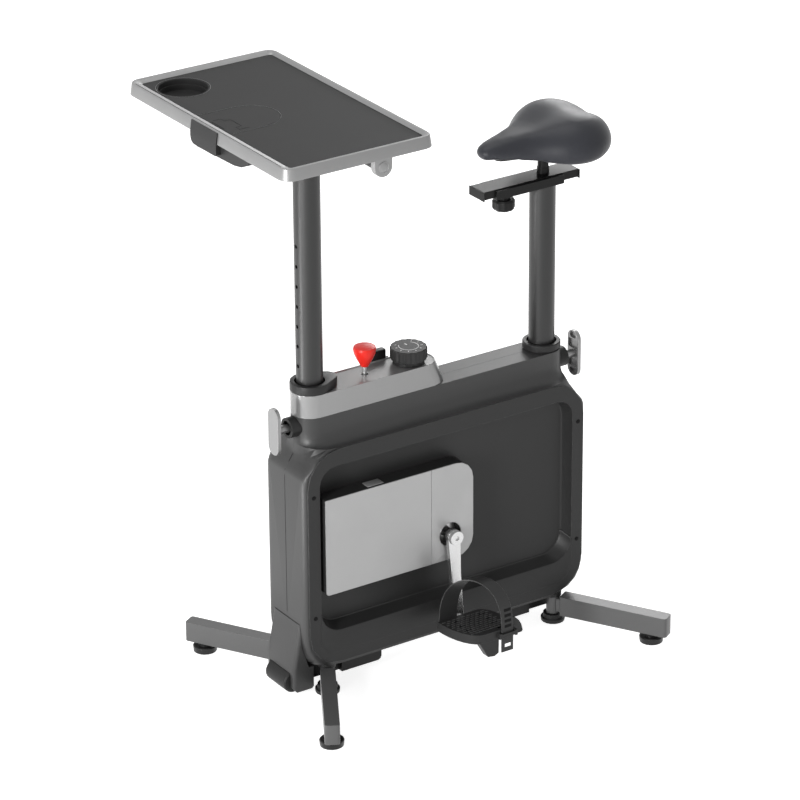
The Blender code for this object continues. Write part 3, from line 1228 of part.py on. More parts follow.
def build_saddle_slide():
    """Rear post, slide channel, slide bar, lock knob, stem and saddle base."""
    post = build_post("rear_post", 1, REAR_POST_TOP, POST_BOTTOM, POST_BLACK)
    channel = box("slide_channel", (CHANNEL_FRONT, -CHANNEL_HALF_WIDTH, CHANNEL_BOTTOM),
                  (CHANNEL_REAR, CHANNEL_HALF_WIDTH, CHANNEL_TOP), TRIM_BLACK)
    groove = CHANNEL_HALF_WIDTH - CHANNEL_WALL
    floor = CHANNEL_BOTTOM + CHANNEL_FLOOR
    cut(channel, box("channel_groove", (CHANNEL_FRONT - 0.01, -groove, floor),
                     (CHANNEL_REAR + 0.01, groove, CHANNEL_TOP + 0.01)))
    cut(channel, rod("lock_bore", (LOCK_X, 0, CHANNEL_BOTTOM - 0.01), (LOCK_X, 0, CHANNEL_TOP + 0.01),
                     LOCK_SHAFT_RADIUS + SLIDE_GAP, steps=TINY_STEPS))
    pivot("rear_post_axis", (POST_X, 0, REAR_COLLAR_TOP), post, channel)

    inset = BAR_CAP / 2
    bar = box("slide_bar", (BAR_FRONT + inset, -groove + SLIDE_GAP, floor + SLIDE_GAP),
              (BAR_REAR - inset, groove - SLIDE_GAP, BAR_TOP), TRIM_BLACK)
    round_edges(bar, 0.001, 1)
    for place, x in (("front", BAR_FRONT), ("rear", BAR_REAR - BAR_CAP)):
        join(bar, box(f"bar_cap_{place}", (x, -groove - 0.0015, floor - 0.0015),
                      (x + BAR_CAP, groove + 0.0015, BAR_TOP - 0.0005)))
    stem_profile = [(0.0, STEM_TOP), (STEM_RADIUS, STEM_TOP), (STEM_RADIUS, BAR_TOP + 0.013),
                    (STEM_RADIUS + 0.001, BAR_TOP + 0.012), (STEM_RADIUS + 0.0012, BAR_TOP + SEAT_GAP),
                    (0.0, BAR_TOP + SEAT_GAP)]
    stem = turned("saddle_stem", stem_profile, (STEM_X, 0, 0), 'Z', STEEL, steps=SMALL_STEPS)
    clamp_low, clamp_high = STEM_TOP - 0.002, SADDLE_BASE_BOTTOM - SEAT_GAP
    clamp = box("saddle_clamp", (STEM_X - 0.020, -0.018, clamp_low), (STEM_X + 0.020, 0.018, clamp_high))
    join(stem, round_edges(clamp, 0.002, 1))
    base = slab("saddle_base", capsule(SADDLE_BASE_REAR, SADDLE_BASE_FRONT, 8), SADDLE_BASE_BOTTOM,
                SADDLE_BASE_TOP, 'Z', TRIM_BLACK)
    cushion = build_cushion()
    pivot("saddle_slide_axis", (STEM_X, 0, BAR_TOP), bar, stem, base, cushion)

    knob_rings = [[(LOCK_X + u * s, v * s, z) for u, v in fluted_outline(LOCK_RADIUS, 8, 0.0014)]
                  for s, z in ((0.86, LOCK_BOTTOM), (1.0, LOCK_BOTTOM + 0.004), (1.0, LOCK_TOP - 0.004),
                               (0.9, LOCK_TOP))]
    knob = loft("slide_lock_knob", knob_rings, TRIM_BLACK)
    shaft_top = [(0.0, floor), (LOCK_SHAFT_RADIUS, floor), (LOCK_SHAFT_RADIUS, CHANNEL_BOTTOM - SEAT_GAP)]
    shaft = turned("lock_shaft", shaft_top + [
                                  (0.013, CHANNEL_BOTTOM - SEAT_GAP), (0.013, LOCK_TOP - 0.006),
                                  (0.0, LOCK_TOP - 0.006)], (LOCK_X, 0, 0), 'Z', steps=TINY_STEPS)
    join(knob, shaft)
    pivot("lock_knob_axis", (LOCK_X, 0, LOCK_TOP), knob)


def saddle_station(x, width, channel, crown, low):
    """Half section of the cushion at x: channel, crown, shoulder, drawn-in side and underside."""
    under = SADDLE_BASE_TOP + SEAT_GAP
    side = low + (crown - low) * 0.40
    return [(x, 0.0, channel), (x, -width * 0.30, crown - 0.001), (x, -width * 0.62, crown),
            (x, -width * 0.90, crown - (crown - side) * 0.45), (x, -width, side),
            (x, -width * 0.97, low + (side - low) * 0.35), (x, -width * 0.86, low),
            (x, -width * 0.71, max(under, low + 0.006)), (x, -width * 0.56, under), (x, 0.0, under)]


def build_cushion():
    """The saddle cushion: a coarse half cage, mirrored and subdivided.

    Each station holds its share of the length, its share of the half width, and the rise of its
    channel, crown and lower edge over the saddle base.
    """
    shares = [(0.000, 0.072, 0.0123, 0.0123, 0.0053), (0.038, 0.144, 0.0178, 0.0178, 0.0018),
              (0.119, 0.234, 0.0223, 0.0223, -0.0027), (0.239, 0.324, 0.0273, 0.0278, -0.0062),
              (0.346, 0.441, 0.0303, 0.0313, -0.0087), (0.446, 0.640, 0.0323, 0.0353, -0.0127),
              (0.546, 0.865, 0.0383, 0.0443, -0.0167), (0.662, 1.000, 0.0473, 0.0538, -0.0177),
              (0.781, 0.991, 0.0493, 0.0553, -0.0147), (0.881, 0.865, 0.0443, 0.0503, -0.0117),
              (0.954, 0.694, 0.0343, 0.0393, -0.0117), (1.000, 0.495, 0.0243, 0.0263, -0.0077)]
    stations = [(CUSHION_FRONT + CUSHION_LENGTH * along_share, CUSHION_HALF_WIDTH * width,
                 *(SADDLE_BASE_TOP + rise for rise in rises)) for along_share, width, *rises in shares]
    bm = bmesh.new()
    rings = [[bm.verts.new(point) for point in saddle_station(*station)] for station in stations]
    for first, second in zip(rings, rings[1:]):
        for i in range(len(first) - 1):
            bm.faces.new((first[i], first[i + 1], second[i + 1], second[i]))
    bm.faces.new(rings[0])
    bm.faces.new(list(reversed(rings[-1])))
    bmesh.ops.recalc_face_normals(bm, faces=bm.faces)
    mesh = bpy.data.meshes.new("saddle_cushion")
    bm.to_mesh(mesh)
    bm.free()
    cushion = add_object("saddle_cushion", mesh, SADDLE_SLATE)
    mirror = cushion.modifiers.new("other_half", 'MIRROR')
    mirror.use_axis = (False, True, False)
    mirror.merge_threshold = MERGE
    smooth = cushion.modifiers.new("softness", 'SUBSURF')
    smooth.levels = 1
    smooth.render_levels = 1
    return cushion


def build_base(label, side):
    """The rail under the housing, with ears that hold the two leg hinges."""
    top = HOUSING_BOTTOM - SEAT_GAP
    inner, step, outer = side * RAIL_INNER, side * RAIL_STEP, side * RAIL_OUTER
    profile = [(inner, top), (inner, RAIL_BOTTOM + 0.008), (inner + side * 0.0025, RAIL_BOTTOM + 0.0025),
               (inner + side * 0.008, RAIL_BOTTOM), (step, RAIL_BOTTOM), (step, top)]
    rail = slab(f"{label}_base_rail", profile, -RAIL_HALF_WIDTH, RAIL_HALF_WIDTH, 'Y', TRIM_BLACK)
    web = sorted((step - side * 0.004, outer))
    join(rail, box(f"{label}_web", (web[0], -WEB_HALF_WIDTH, RAIL_BOTTOM + 0.001),
                   (web[1], WEB_HALF_WIDTH, top - 0.0001)))
    join(rail, box(f"{label}_ear_bar", (side * POST_X - EAR_RADIUS, -HINGE_Y, EAR_BOTTOM),
                   (side * POST_X + EAR_RADIUS, HINGE_Y, top - 0.0002)))
    for y in (-HINGE_Y, HINGE_Y):
        join(rail, rod(f"{label}_ear_{round(y * 1000)}", (side * POST_X, y, EAR_BOTTOM - 0.0001),
                       (side * POST_X, y, top - 0.0003), EAR_RADIUS + 0.0002, steps=SMALL_STEPS))
        cut(rail, rod(f"{label}_pin_bore_{round(y * 1000)}", (side * POST_X, y, EAR_BOTTOM - 0.01),
                      (side * POST_X, y, top + 0.01), HINGE_PIN_RADIUS + SEAT_GAP, steps=16))
    return rail


def build_hinge_foot(name, x, y):
    """A foot on the floor under a leg hinge, with the pin that the leg turns on."""
    profile = [(0.0, HOUSING_BOTTOM - 2 * SEAT_GAP), (HINGE_PIN_RADIUS, HOUSING_BOTTOM - 2 * SEAT_GAP),
               (HINGE_PIN_RADIUS, HINGE_CUP_TOP), (HINGE_CUP_RADIUS - 0.001, HINGE_CUP_TOP),
               (HINGE_CUP_RADIUS, HINGE_DISC_TOP), (HINGE_DISC_RADIUS - 0.001, HINGE_DISC_TOP),
               (HINGE_DISC_RADIUS, HINGE_DISC_TOP - 0.0015), (HINGE_DISC_RADIUS - 0.001, 0.0), (0.0, 0.0)]
    return turned(name, profile, (x, y, 0), 'Z', FOOT_RUBBER, steps=SMALL_STEPS)


def build_leg(name, x, y, heading):
    """A leg: square tube, hinge barrel and end foot, turned to its heading about the hinge pin."""
    half = LEG_WIDTH / 2
    outline = rounded_rectangle(LEG_START, LEG_END, -half, half,
                                (0.003, LEG_TIP_RADIUS, LEG_TIP_RADIUS, 0.003), 3)
    leg = slab(name, outline, LEG_BOTTOM, LEG_TOP, 'Z', LEG_GREY)
    round_edges(leg, 0.0012, 1)
    barrel = rod(f"{name}_barrel", (0, 0, BARREL_BOTTOM), (0, 0, BARREL_TOP), BARREL_RADIUS, steps=SMALL_STEPS)
    knuckle = box(f"{name}_knuckle", (0.004, -0.0075, LEG_BOTTOM + 0.004), (LEG_START + 0.006, 0.0075,
                                                                           BARREL_TOP - 0.004))
    foot = turned(f"{name}_foot", [(0.0, LEG_BOTTOM + 0.004), (FOOT_NECK_RADIUS, LEG_BOTTOM + 0.004),
                                   (FOOT_NECK_RADIUS, FOOT_TOP), (FOOT_RADIUS - 0.0015, FOOT_TOP),
                                   (FOOT_RADIUS, FOOT_TOP - 0.0015), (FOOT_RADIUS - 0.001, 0.0), (0.0, 0.0)],
                  (FOOT_REACH, 0, 0), 'Z', steps=SMALL_STEPS)
    join(leg, barrel, knuckle, foot)
    bore = rod(f"{name}_pin_bore", (0, 0, 0.0), (0, 0, LEG_TOP + 0.01), HINGE_PIN_RADIUS + SLIDE_GAP,
               steps=TINY_STEPS)
    cut(leg, bore)
    placing = Matrix.Translation((x, y, 0)) @ Matrix.Rotation(heading, 4, 'Z')
    for piece in (leg, barrel, knuckle, foot, bore):
        piece.matrix_world = placing @ piece.matrix_basis
    pivot(f"{name}_axis", (x, y, LEG_BOTTOM))
    return leg


def build_legs():
    for label, side in (("front", -1), ("rear", 1)):
        build_base(label, side)
        for hand, flank in (("left", -1), ("right", 1)):
            build_hinge_foot(f"{label}_{hand}_hinge_foot", side * POST_X, flank * HINGE_Y)
            heading = math.atan2(flank * math.sin(LEG_ANGLE), side * math.cos(LEG_ANGLE))
            build_leg(f"{label}_{hand}_leg", side * POST_X, flank * HINGE_Y, heading)


def fairing_ring(front, z):
    """Plan of the fairing at height z: round at its two front corners, square behind."""
    outline = rounded_rectangle(front, -RAIL_OUTER + 0.02, -FAIRING_HALF_WIDTH, FAIRING_HALF_WIDTH,
                                (FAIRING_CORNER, 0.001, 0.001, FAIRING_CORNER))
    return [(x, y, z) for x, y in outline]


def build_fairing():
    """The front fairing: a wedge on the housing's end with cheeks that hold the roller's axle."""
    foot = HOUSING_BOTTOM - SEAT_GAP
    levels = [z for z in housing_levels() if z < FAIRING_TOP] + [FAIRING_TOP]
    back = [(-body_reach(z) - SEAT_GAP, z) for z in levels]
    rear = -RAIL_OUTER - SEAT_GAP
    crest = -body_reach(FAIRING_TOP) - SEAT_GAP - 0.001
    spare = 0.002
    outline = [(crest - spare, FAIRING_TOP), (FAIRING_FRONT - spare, foot),
               (FAIRING_FRONT - spare, FAIRING_BOTTOM + 0.0125), (FAIRING_FRONT + 0.007, FAIRING_BOTTOM),
               (rear - 0.004, FAIRING_BOTTOM), (rear, FAIRING_BOTTOM + 0.004), (rear, foot),
               (-BODY_FOOT_HALF_LENGTH - SEAT_GAP, foot)]
    wide = FAIRING_HALF_WIDTH + spare
    fairing = slab("front_fairing", outline + back, -wide, wide, 'Y', HOUSING_BLACK)
    lean = (crest - FAIRING_FRONT) / (FAIRING_TOP - foot)
    above = FAIRING_TOP + 0.01
    plan = loft("fairing_plan", [fairing_ring(FAIRING_FRONT + 0.001, FAIRING_BOTTOM - 0.01),
                                 fairing_ring(FAIRING_FRONT, foot),
                                 fairing_ring(FAIRING_FRONT + lean * (above - foot), above)])
    combine(fairing, plan, 'INTERSECT')
    half = ROLLER_HALF_WIDTH + ROLLER_ROOM
    well = ROLLER_RADIUS + ROLLER_ROOM
    cut(fairing, rod("roller_well", (ROLLER_X, -half, ROLLER_Z), (ROLLER_X, half, ROLLER_Z), well))
    cut(fairing, box("roller_mouth", (ROLLER_X - well * 1.5, -half, -0.01), (rear + 0.01, half, ROLLER_Z)))
    join(fairing, rod("roller_axle", (ROLLER_X, -half - 0.004, ROLLER_Z), (ROLLER_X, half + 0.004, ROLLER_Z),
                      ROLLER_AXLE_RADIUS, steps=TINY_STEPS))
    return fairing


def build_roller():
    """The transport roller on its axle, just clear of the floor."""
    half = ROLLER_HALF_WIDTH
    bore = ROLLER_AXLE_RADIUS + SLIDE_GAP
    profile = [(ROLLER_RADIUS - 0.002, half), (ROLLER_RADIUS, half - 0.002), (ROLLER_RADIUS, -half + 0.002),
               (ROLLER_RADIUS - 0.002, -half), (bore, -half), (bore, half)]
    roller = turned("transport_roller", profile, (ROLLER_X, 0, ROLLER_Z), 'Y', FOOT_RUBBER)
    pivot("roller_axis", (ROLLER_X, 0, ROLLER_Z), roller)
    return roller


def main():
    build_housing()
    build_side_covers()
    build_drive_boxes()
    build_console()
    build_collars()
    build_sleeve("front", -1, COLLAR_TOP - 0.010)
    build_sleeve("rear", 1, REAR_COLLAR_TOP - 0.006)
    build_clamp("front", -1)
    build_clamp("rear", 1)
    build_brake_knob()
    build_dial()
    build_side_clip()
    build_crank()
    build_desk()
    build_saddle_slide()
    build_legs()
    build_fairing()
    build_roller()


main()
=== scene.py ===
"""Looks of the desk exercise bike: finishes, the soft saddle, small fasteners, marks and the studio.

Everything is in metres, +Z up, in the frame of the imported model: +X towards the saddle, -X towards the
desk, -Y the side nearest the camera, with the origin on the floor midway between the two posts.
"""
import json
import logging
import math
from collections.abc import Callable, Sequence
from dataclasses import dataclass, field
from enum import Enum
from functools import cache
from pathlib import Path

import bmesh
import bpy
import numpy as np
from mathutils import Matrix, Vector
from mathutils.bvhtree import BVHTree
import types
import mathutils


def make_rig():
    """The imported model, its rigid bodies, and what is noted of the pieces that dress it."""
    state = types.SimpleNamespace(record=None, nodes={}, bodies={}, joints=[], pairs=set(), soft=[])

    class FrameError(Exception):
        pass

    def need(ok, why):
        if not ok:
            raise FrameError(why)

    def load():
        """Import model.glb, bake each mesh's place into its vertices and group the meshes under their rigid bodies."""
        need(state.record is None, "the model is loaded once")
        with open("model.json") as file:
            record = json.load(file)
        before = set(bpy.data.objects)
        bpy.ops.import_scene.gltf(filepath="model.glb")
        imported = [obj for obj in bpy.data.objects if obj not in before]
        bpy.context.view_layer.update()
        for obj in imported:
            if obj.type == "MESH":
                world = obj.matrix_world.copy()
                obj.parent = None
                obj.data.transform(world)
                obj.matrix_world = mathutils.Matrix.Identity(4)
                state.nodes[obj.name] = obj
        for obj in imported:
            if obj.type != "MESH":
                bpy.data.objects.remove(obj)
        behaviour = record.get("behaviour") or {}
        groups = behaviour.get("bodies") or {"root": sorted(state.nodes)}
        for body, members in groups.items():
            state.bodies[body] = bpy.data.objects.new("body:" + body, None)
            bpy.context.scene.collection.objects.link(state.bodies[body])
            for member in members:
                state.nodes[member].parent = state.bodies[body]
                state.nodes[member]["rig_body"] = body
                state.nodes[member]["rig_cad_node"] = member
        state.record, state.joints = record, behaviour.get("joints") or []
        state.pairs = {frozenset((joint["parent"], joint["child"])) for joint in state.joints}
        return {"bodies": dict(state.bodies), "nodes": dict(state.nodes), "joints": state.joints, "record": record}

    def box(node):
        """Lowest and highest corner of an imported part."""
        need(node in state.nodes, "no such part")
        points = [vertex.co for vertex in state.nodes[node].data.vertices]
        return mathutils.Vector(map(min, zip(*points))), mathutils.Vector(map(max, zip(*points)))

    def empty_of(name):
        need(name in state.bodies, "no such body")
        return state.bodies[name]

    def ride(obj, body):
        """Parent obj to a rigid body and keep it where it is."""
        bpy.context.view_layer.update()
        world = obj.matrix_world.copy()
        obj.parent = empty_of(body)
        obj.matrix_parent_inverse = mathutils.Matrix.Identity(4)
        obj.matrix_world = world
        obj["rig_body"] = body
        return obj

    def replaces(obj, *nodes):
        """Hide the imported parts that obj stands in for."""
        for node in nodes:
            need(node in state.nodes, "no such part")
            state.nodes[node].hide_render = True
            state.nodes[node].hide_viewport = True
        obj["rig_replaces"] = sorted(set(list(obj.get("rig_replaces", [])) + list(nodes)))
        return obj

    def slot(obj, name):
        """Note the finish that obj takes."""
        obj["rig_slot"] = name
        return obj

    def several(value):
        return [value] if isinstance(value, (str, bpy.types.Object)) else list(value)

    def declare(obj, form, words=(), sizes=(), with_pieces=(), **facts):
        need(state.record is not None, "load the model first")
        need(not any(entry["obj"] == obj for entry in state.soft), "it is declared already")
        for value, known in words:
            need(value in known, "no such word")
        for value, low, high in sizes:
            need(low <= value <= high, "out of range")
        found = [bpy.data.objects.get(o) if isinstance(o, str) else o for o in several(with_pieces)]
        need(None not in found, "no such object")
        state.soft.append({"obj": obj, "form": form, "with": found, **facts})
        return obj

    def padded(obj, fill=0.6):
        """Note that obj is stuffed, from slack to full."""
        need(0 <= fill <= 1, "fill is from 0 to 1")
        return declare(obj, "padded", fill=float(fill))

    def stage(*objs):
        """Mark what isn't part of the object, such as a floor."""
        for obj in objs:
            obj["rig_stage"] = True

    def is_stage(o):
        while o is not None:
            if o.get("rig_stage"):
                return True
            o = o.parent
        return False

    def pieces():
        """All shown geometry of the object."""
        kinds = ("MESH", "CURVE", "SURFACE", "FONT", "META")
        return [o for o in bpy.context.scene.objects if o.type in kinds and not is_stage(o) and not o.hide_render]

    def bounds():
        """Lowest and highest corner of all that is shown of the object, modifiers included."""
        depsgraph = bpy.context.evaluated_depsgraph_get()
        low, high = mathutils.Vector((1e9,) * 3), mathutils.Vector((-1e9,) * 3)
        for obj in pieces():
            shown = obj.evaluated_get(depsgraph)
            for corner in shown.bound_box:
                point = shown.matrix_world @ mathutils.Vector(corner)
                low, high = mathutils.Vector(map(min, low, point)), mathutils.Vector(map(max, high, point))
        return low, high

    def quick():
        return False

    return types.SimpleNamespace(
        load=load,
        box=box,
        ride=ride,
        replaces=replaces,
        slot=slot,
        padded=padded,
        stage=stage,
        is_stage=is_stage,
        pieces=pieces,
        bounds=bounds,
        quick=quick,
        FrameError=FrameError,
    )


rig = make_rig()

LOG = logging.getLogger("desk_exercise_bike")
SIZE_FILE = Path("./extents.json")

Point = tuple[float, float, float]
Colour = tuple[float, float, float]

UP: Point = (0.0, 0.0, 1.0)
WHITE = (1.0, 1.0, 1.0, 1.0)
SURFACE_GAP = 0.0001
SMOOTH_ANGLE = math.radians(38.0)
FLUTE_ANGLE = math.radians(14.0)
FLUTED_NODES = ("resistance_dial", "slide_lock_knob")
CREASE_DEGREES = 35.0
BEVEL_STEPS = 2
STEPS_PER_METRE = 1e6
LEAST_LENGTH = 1e-12
LEAST_MOVE = 1e-9


class Body(Enum):
    """The bodies that this script's own pieces ride on."""

    FRAME = "frame"
    LEFT_PEDAL = "left_pedal"
    RIGHT_PEDAL = "right_pedal"
    DIAL = "dial"
    DESK = "desk"
    FLAP = "flap"
    SADDLE = "saddle"


class Slot(Enum):
    """The material slots of the record."""

    HOUSING = "housing_black"
    COVER = "cover_black"
    PLATE = "plate_silver"
    CONSOLE = "console_silver"
    TRIM = "trim_black"
    POST = "post_black"
    STEEL = "steel"
    ALUMINIUM = "aluminium"
    RED = "brake_red"
    TRAY = "tray_silver"
    INLAY = "inlay_grey"
    PEDAL = "pedal_black"
    STRAP = "strap_black"
    SADDLE = "saddle_slate"
    LEG = "leg_grey"
    RUBBER = "foot_rubber"


class Side(Enum):
    """The two sides of the bike; the value is the sign of Y."""

    LEFT = -1
    RIGHT = 1

    @property
    def label(self) -> str:
        """The side's name in lower case."""
        return self.name.lower()

    @property
    def out(self) -> Point:
        """The direction that leads away from the bike on this side."""
        return (0.0, float(self.value), 0.0)

    @property
    def pedal_body(self) -> Body:
        """The body of this side's pedal."""
        return Body.LEFT_PEDAL if self is Side.LEFT else Body.RIGHT_PEDAL


class End(Enum):
    """The two ends of the bike; the value is the sign of X."""

    FRONT = -1
    REAR = 1

    @property
    def label(self) -> str:
        """The end's name in lower case."""
        return self.name.lower()


def linear(code: str) -> Colour:
    """Convert a six-digit sRGB colour to linear light, by the sRGB standard's own formula.

    Args:
        code: red, green and blue as two hexadecimal digits each.

    Returns:
        The three channels in linear light.
    """
    channels = [int(code[i:i + 2], 16) / 255 for i in (0, 2, 4)]
    red, green, blue = (c / 12.92 if c <= 0.04045 else ((c + 0.055) / 1.055) ** 2.4 for c in channels)
    return red, green, blue


class Wiring:
    """Adds and links the nodes of one node tree.

    A Mix node has sockets for every kind of value, so its colour sockets are found by their places.
    """

    MIX_FIRST = 6
    MIX_SECOND = 7
    MIX_RESULT = 2

    def __init__(self, tree: bpy.types.NodeTree) -> None:
        """Keep the tree that the nodes go into."""
        self.tree = tree

    def add(self, kind: str, **values: object) -> bpy.types.Node:
        """Add a node and set its inputs and properties.

        Args:
            kind: the node's type name without the leading ShaderNode.
            values: property names, or input names with spaces written as underscores.

        Returns:
            The new node.
        """
        node = self.tree.nodes.new("ShaderNode" + kind)
        for key, value in values.items():
            if hasattr(node, key) and key not in node.inputs:
                setattr(node, key, value)
            else:
                self.feed(node.inputs[key.replace("_", " ")], value)
        return node

    def group(self, tree: bpy.types.NodeTree, **values: object) -> bpy.types.Node:
        """Place a node group and set its inputs.

        Args:
            tree: the group's tree.
            values: the inputs by name.

        Returns:
            The group's node.
        """
        node = self.add("Group")
        node.node_tree = tree
        for key, value in values.items():
            self.feed(node.inputs[key], value)
        return node

    def feed(self, socket: bpy.types.NodeSocket, value: object) -> None:
        """Link a socket's source to it, or set its value.

        Args:
            socket: the input.
            value: an output socket, or a plain value.
        """
        if isinstance(value, bpy.types.NodeSocket):
            self.tree.links.new(value, socket)
        else:
            socket.default_value = value

    def sum(self, operation: str, *values: object) -> bpy.types.NodeSocket:
        """Combine values with a Math node.

        Args:
            operation: the node's operation.
            values: its inputs in order, as sockets or numbers.

        Returns:
            The result's socket.
        """
        node = self.add("Math", operation=operation)
        for socket, value in zip(node.inputs, values):
            self.feed(socket, value)
        return node.outputs[0]

    def spread(self, value: object, low: float, high: float, to_low: float,
               to_high: float) -> bpy.types.NodeSocket:
        """Map a value from one range to another, clamped.

        Args:
            value: the value's socket.
            low: the value that gives to_low.
            high: the value that gives to_high.
            to_low: the result at low.
            to_high: the result at high.

        Returns:
            The result's socket.
        """
        node = self.add("MapRange", clamp=True)
        for key, number in zip(("Value", "From Min", "From Max", "To Min", "To Max"),
                               (value, low, high, to_low, to_high)):
            self.feed(node.inputs[key], number)
        return node.outputs["Result"]

    def mix(self, share: object, first: object, second: object) -> bpy.types.NodeSocket:
        """Mix two colours.

        Args:
            share: how much of the second colour shows, from 0 to 1.
            first: the first colour.
            second: the second colour.

        Returns:
            The result's socket.
        """
        node = self.add("Mix", data_type="RGBA")
        self.feed(node.inputs["Factor"], share)
        self.feed(node.inputs[self.MIX_FIRST], first)
        self.feed(node.inputs[self.MIX_SECOND], second)
        return node.outputs[self.MIX_RESULT]

    def place(self) -> bpy.types.NodeSocket:
        """The point on the surface, in metres, in the piece's own space."""
        return self.add("TexCoord").outputs["Object"]


def new_group(name: str, inputs: Sequence[tuple[str, str, object]],
              outputs: Sequence[tuple[str, str]]) -> tuple[Wiring, bpy.types.Node, bpy.types.Node]:
    """Start a shader node group with named sockets.

    Args:
        name: the group's name.
        inputs: name, kind and default value of each input.
        outputs: name and kind of each output.

    Returns:
        The group's wiring, its input node and its output node.
    """
    tree = bpy.data.node_groups.new(name, "ShaderNodeTree")
    for label, kind, value in inputs:
        socket = tree.interface.new_socket(label, in_out='INPUT', socket_type="NodeSocket" + kind)
        socket.default_value = value
    for label, kind in outputs:
        tree.interface.new_socket(label, in_out='OUTPUT', socket_type="NodeSocket" + kind)
    source = tree.nodes.new("NodeGroupInput")
    target = tree.nodes.new("NodeGroupOutput")
    return Wiring(tree), source, target


@cache
def grain_group() -> bpy.types.NodeTree:
    """Make the fine moulded grain of plastic, paint and vinyl.

    Returns:
        The group, whose height mixes cells with a finer noise.
    """
    wiring, source, target = new_group(
        "moulded_grain", [("Cell", "Float", 0.001), ("Coarseness", "Float", 0.5)], [("Height", "Float")])
    place = wiring.place()
    finer = 2.3
    scale = wiring.sum("DIVIDE", 1.0, source.outputs["Cell"])
    cells = wiring.add("TexVoronoi", Vector=place, Scale=scale, feature='SMOOTH_F1')
    noise = wiring.add("TexNoise", Vector=place, Scale=wiring.sum("MULTIPLY", scale, finer), Detail=3.0)
    fineness = wiring.sum("SUBTRACT", 1.0, source.outputs["Coarseness"])
    fine = wiring.sum("MULTIPLY", noise.outputs["Fac"], fineness)
    coarse = wiring.sum("MULTIPLY", cells.outputs["Distance"], source.outputs["Coarseness"])
    wiring.feed(target.inputs["Height"], wiring.sum("ADD", fine, coarse))
    return wiring.tree


@cache
def drift_group() -> bpy.types.NodeTree:
    """Make the slow changes of tone and gloss that handling and moulding leave on a surface.

    Returns:
        The group, whose roughness swings half as much as its tone.
    """
    wiring, source, target = new_group(
        "tone_drift", [("Colour", "Color", (0.5, 0.5, 0.5, 1.0)), ("Roughness", "Float", 0.5),
                       ("Amount", "Float", 0.1), ("Patch", "Float", 0.05)],
        [("Colour", "Color"), ("Roughness", "Float")])
    scale = wiring.sum("DIVIDE", 1.0, source.outputs["Patch"])
    noise = wiring.add("TexNoise", Vector=wiring.place(), Scale=scale, Detail=4.0, Roughness=0.55)
    centred = wiring.sum("SUBTRACT", noise.outputs["Fac"], 0.5)
    swing = wiring.sum("MULTIPLY", centred, source.outputs["Amount"])
    value = wiring.add("HueSaturation", Color=source.outputs["Colour"])
    wiring.feed(value.inputs["Value"], wiring.sum("ADD", 1.0, swing))
    wiring.feed(target.inputs["Colour"], value.outputs["Color"])
    gloss = wiring.sum("MULTIPLY", swing, 0.5)
    wiring.feed(target.inputs["Roughness"], wiring.sum("ADD", source.outputs["Roughness"], gloss))
    return wiring.tree


@cache
def edge_group() -> bpy.types.NodeTree:
    """Make a mask of the outer edges, broken up as wear is; the finishes lighten these edges partly as wear and partly
    as a painted highlight.

    Returns:
        The group, which also gives the normal of the edges' small rounding.
    """
    wiring, source, target = new_group("worn_edge", [("Radius", "Float", 0.001), ("Amount", "Float", 0.3)],
                                       [("Mask", "Float"), ("Normal", "Vector")])
    rounding = wiring.add("Bevel", samples=6)
    wiring.feed(rounding.inputs["Radius"], source.outputs["Radius"])
    flat = wiring.add("NewGeometry").outputs["Normal"]
    facing = wiring.add("VectorMath", operation='DOT_PRODUCT')
    wiring.feed(facing.inputs[0], rounding.outputs["Normal"])
    wiring.feed(facing.inputs[1], flat)
    edge = wiring.spread(facing.outputs["Value"], low=0.995, high=0.86, to_low=0.0, to_high=1.0)
    noise = wiring.add("TexNoise", Vector=wiring.place(), Scale=180.0, Detail=3.0)
    broken = wiring.spread(noise.outputs["Fac"], low=0.35, high=0.6, to_low=0.25, to_high=1.0)
    mask = wiring.sum("MULTIPLY", wiring.sum("MULTIPLY", edge, broken), source.outputs["Amount"])
    wiring.feed(target.inputs["Mask"], mask)
    wiring.feed(target.inputs["Normal"], rounding.outputs["Normal"])
    return wiring.tree


@cache
def brush_group() -> bpy.types.NodeTree:
    """Make fine parallel brushing along one axis of the piece.

    Returns:
        The group, which gives the brushing's height.
    """
    wiring, source, target = new_group("fine_brushing", [("Stretch", "Vector", (40.0, 2400.0, 2400.0))],
                                       [("Height", "Float")])
    scaled = wiring.add("VectorMath", operation='MULTIPLY')
    wiring.feed(scaled.inputs[0], wiring.place())
    wiring.feed(scaled.inputs[1], source.outputs["Stretch"])
    noise = wiring.add("TexNoise", Vector=scaled.outputs["Vector"], Scale=1.0, Detail=2.0)
    wiring.feed(target.inputs["Height"], noise.outputs["Fac"])
    return wiring.tree


@cache
def level_group() -> bpy.types.NodeTree:
    """Make a mask of what lies above a height of the piece, for a piece in two finishes.

    Returns:
        The group, which gives the mask.
    """
    wiring, source, target = new_group("above_level", [("Level", "Float", 0.0)], [("Mask", "Float")])
    height = wiring.add("SeparateXYZ", Vector=wiring.place()).outputs["Z"]
    wiring.feed(target.inputs["Mask"], wiring.sum("GREATER_THAN", height, source.outputs["Level"]))
    return wiring.tree


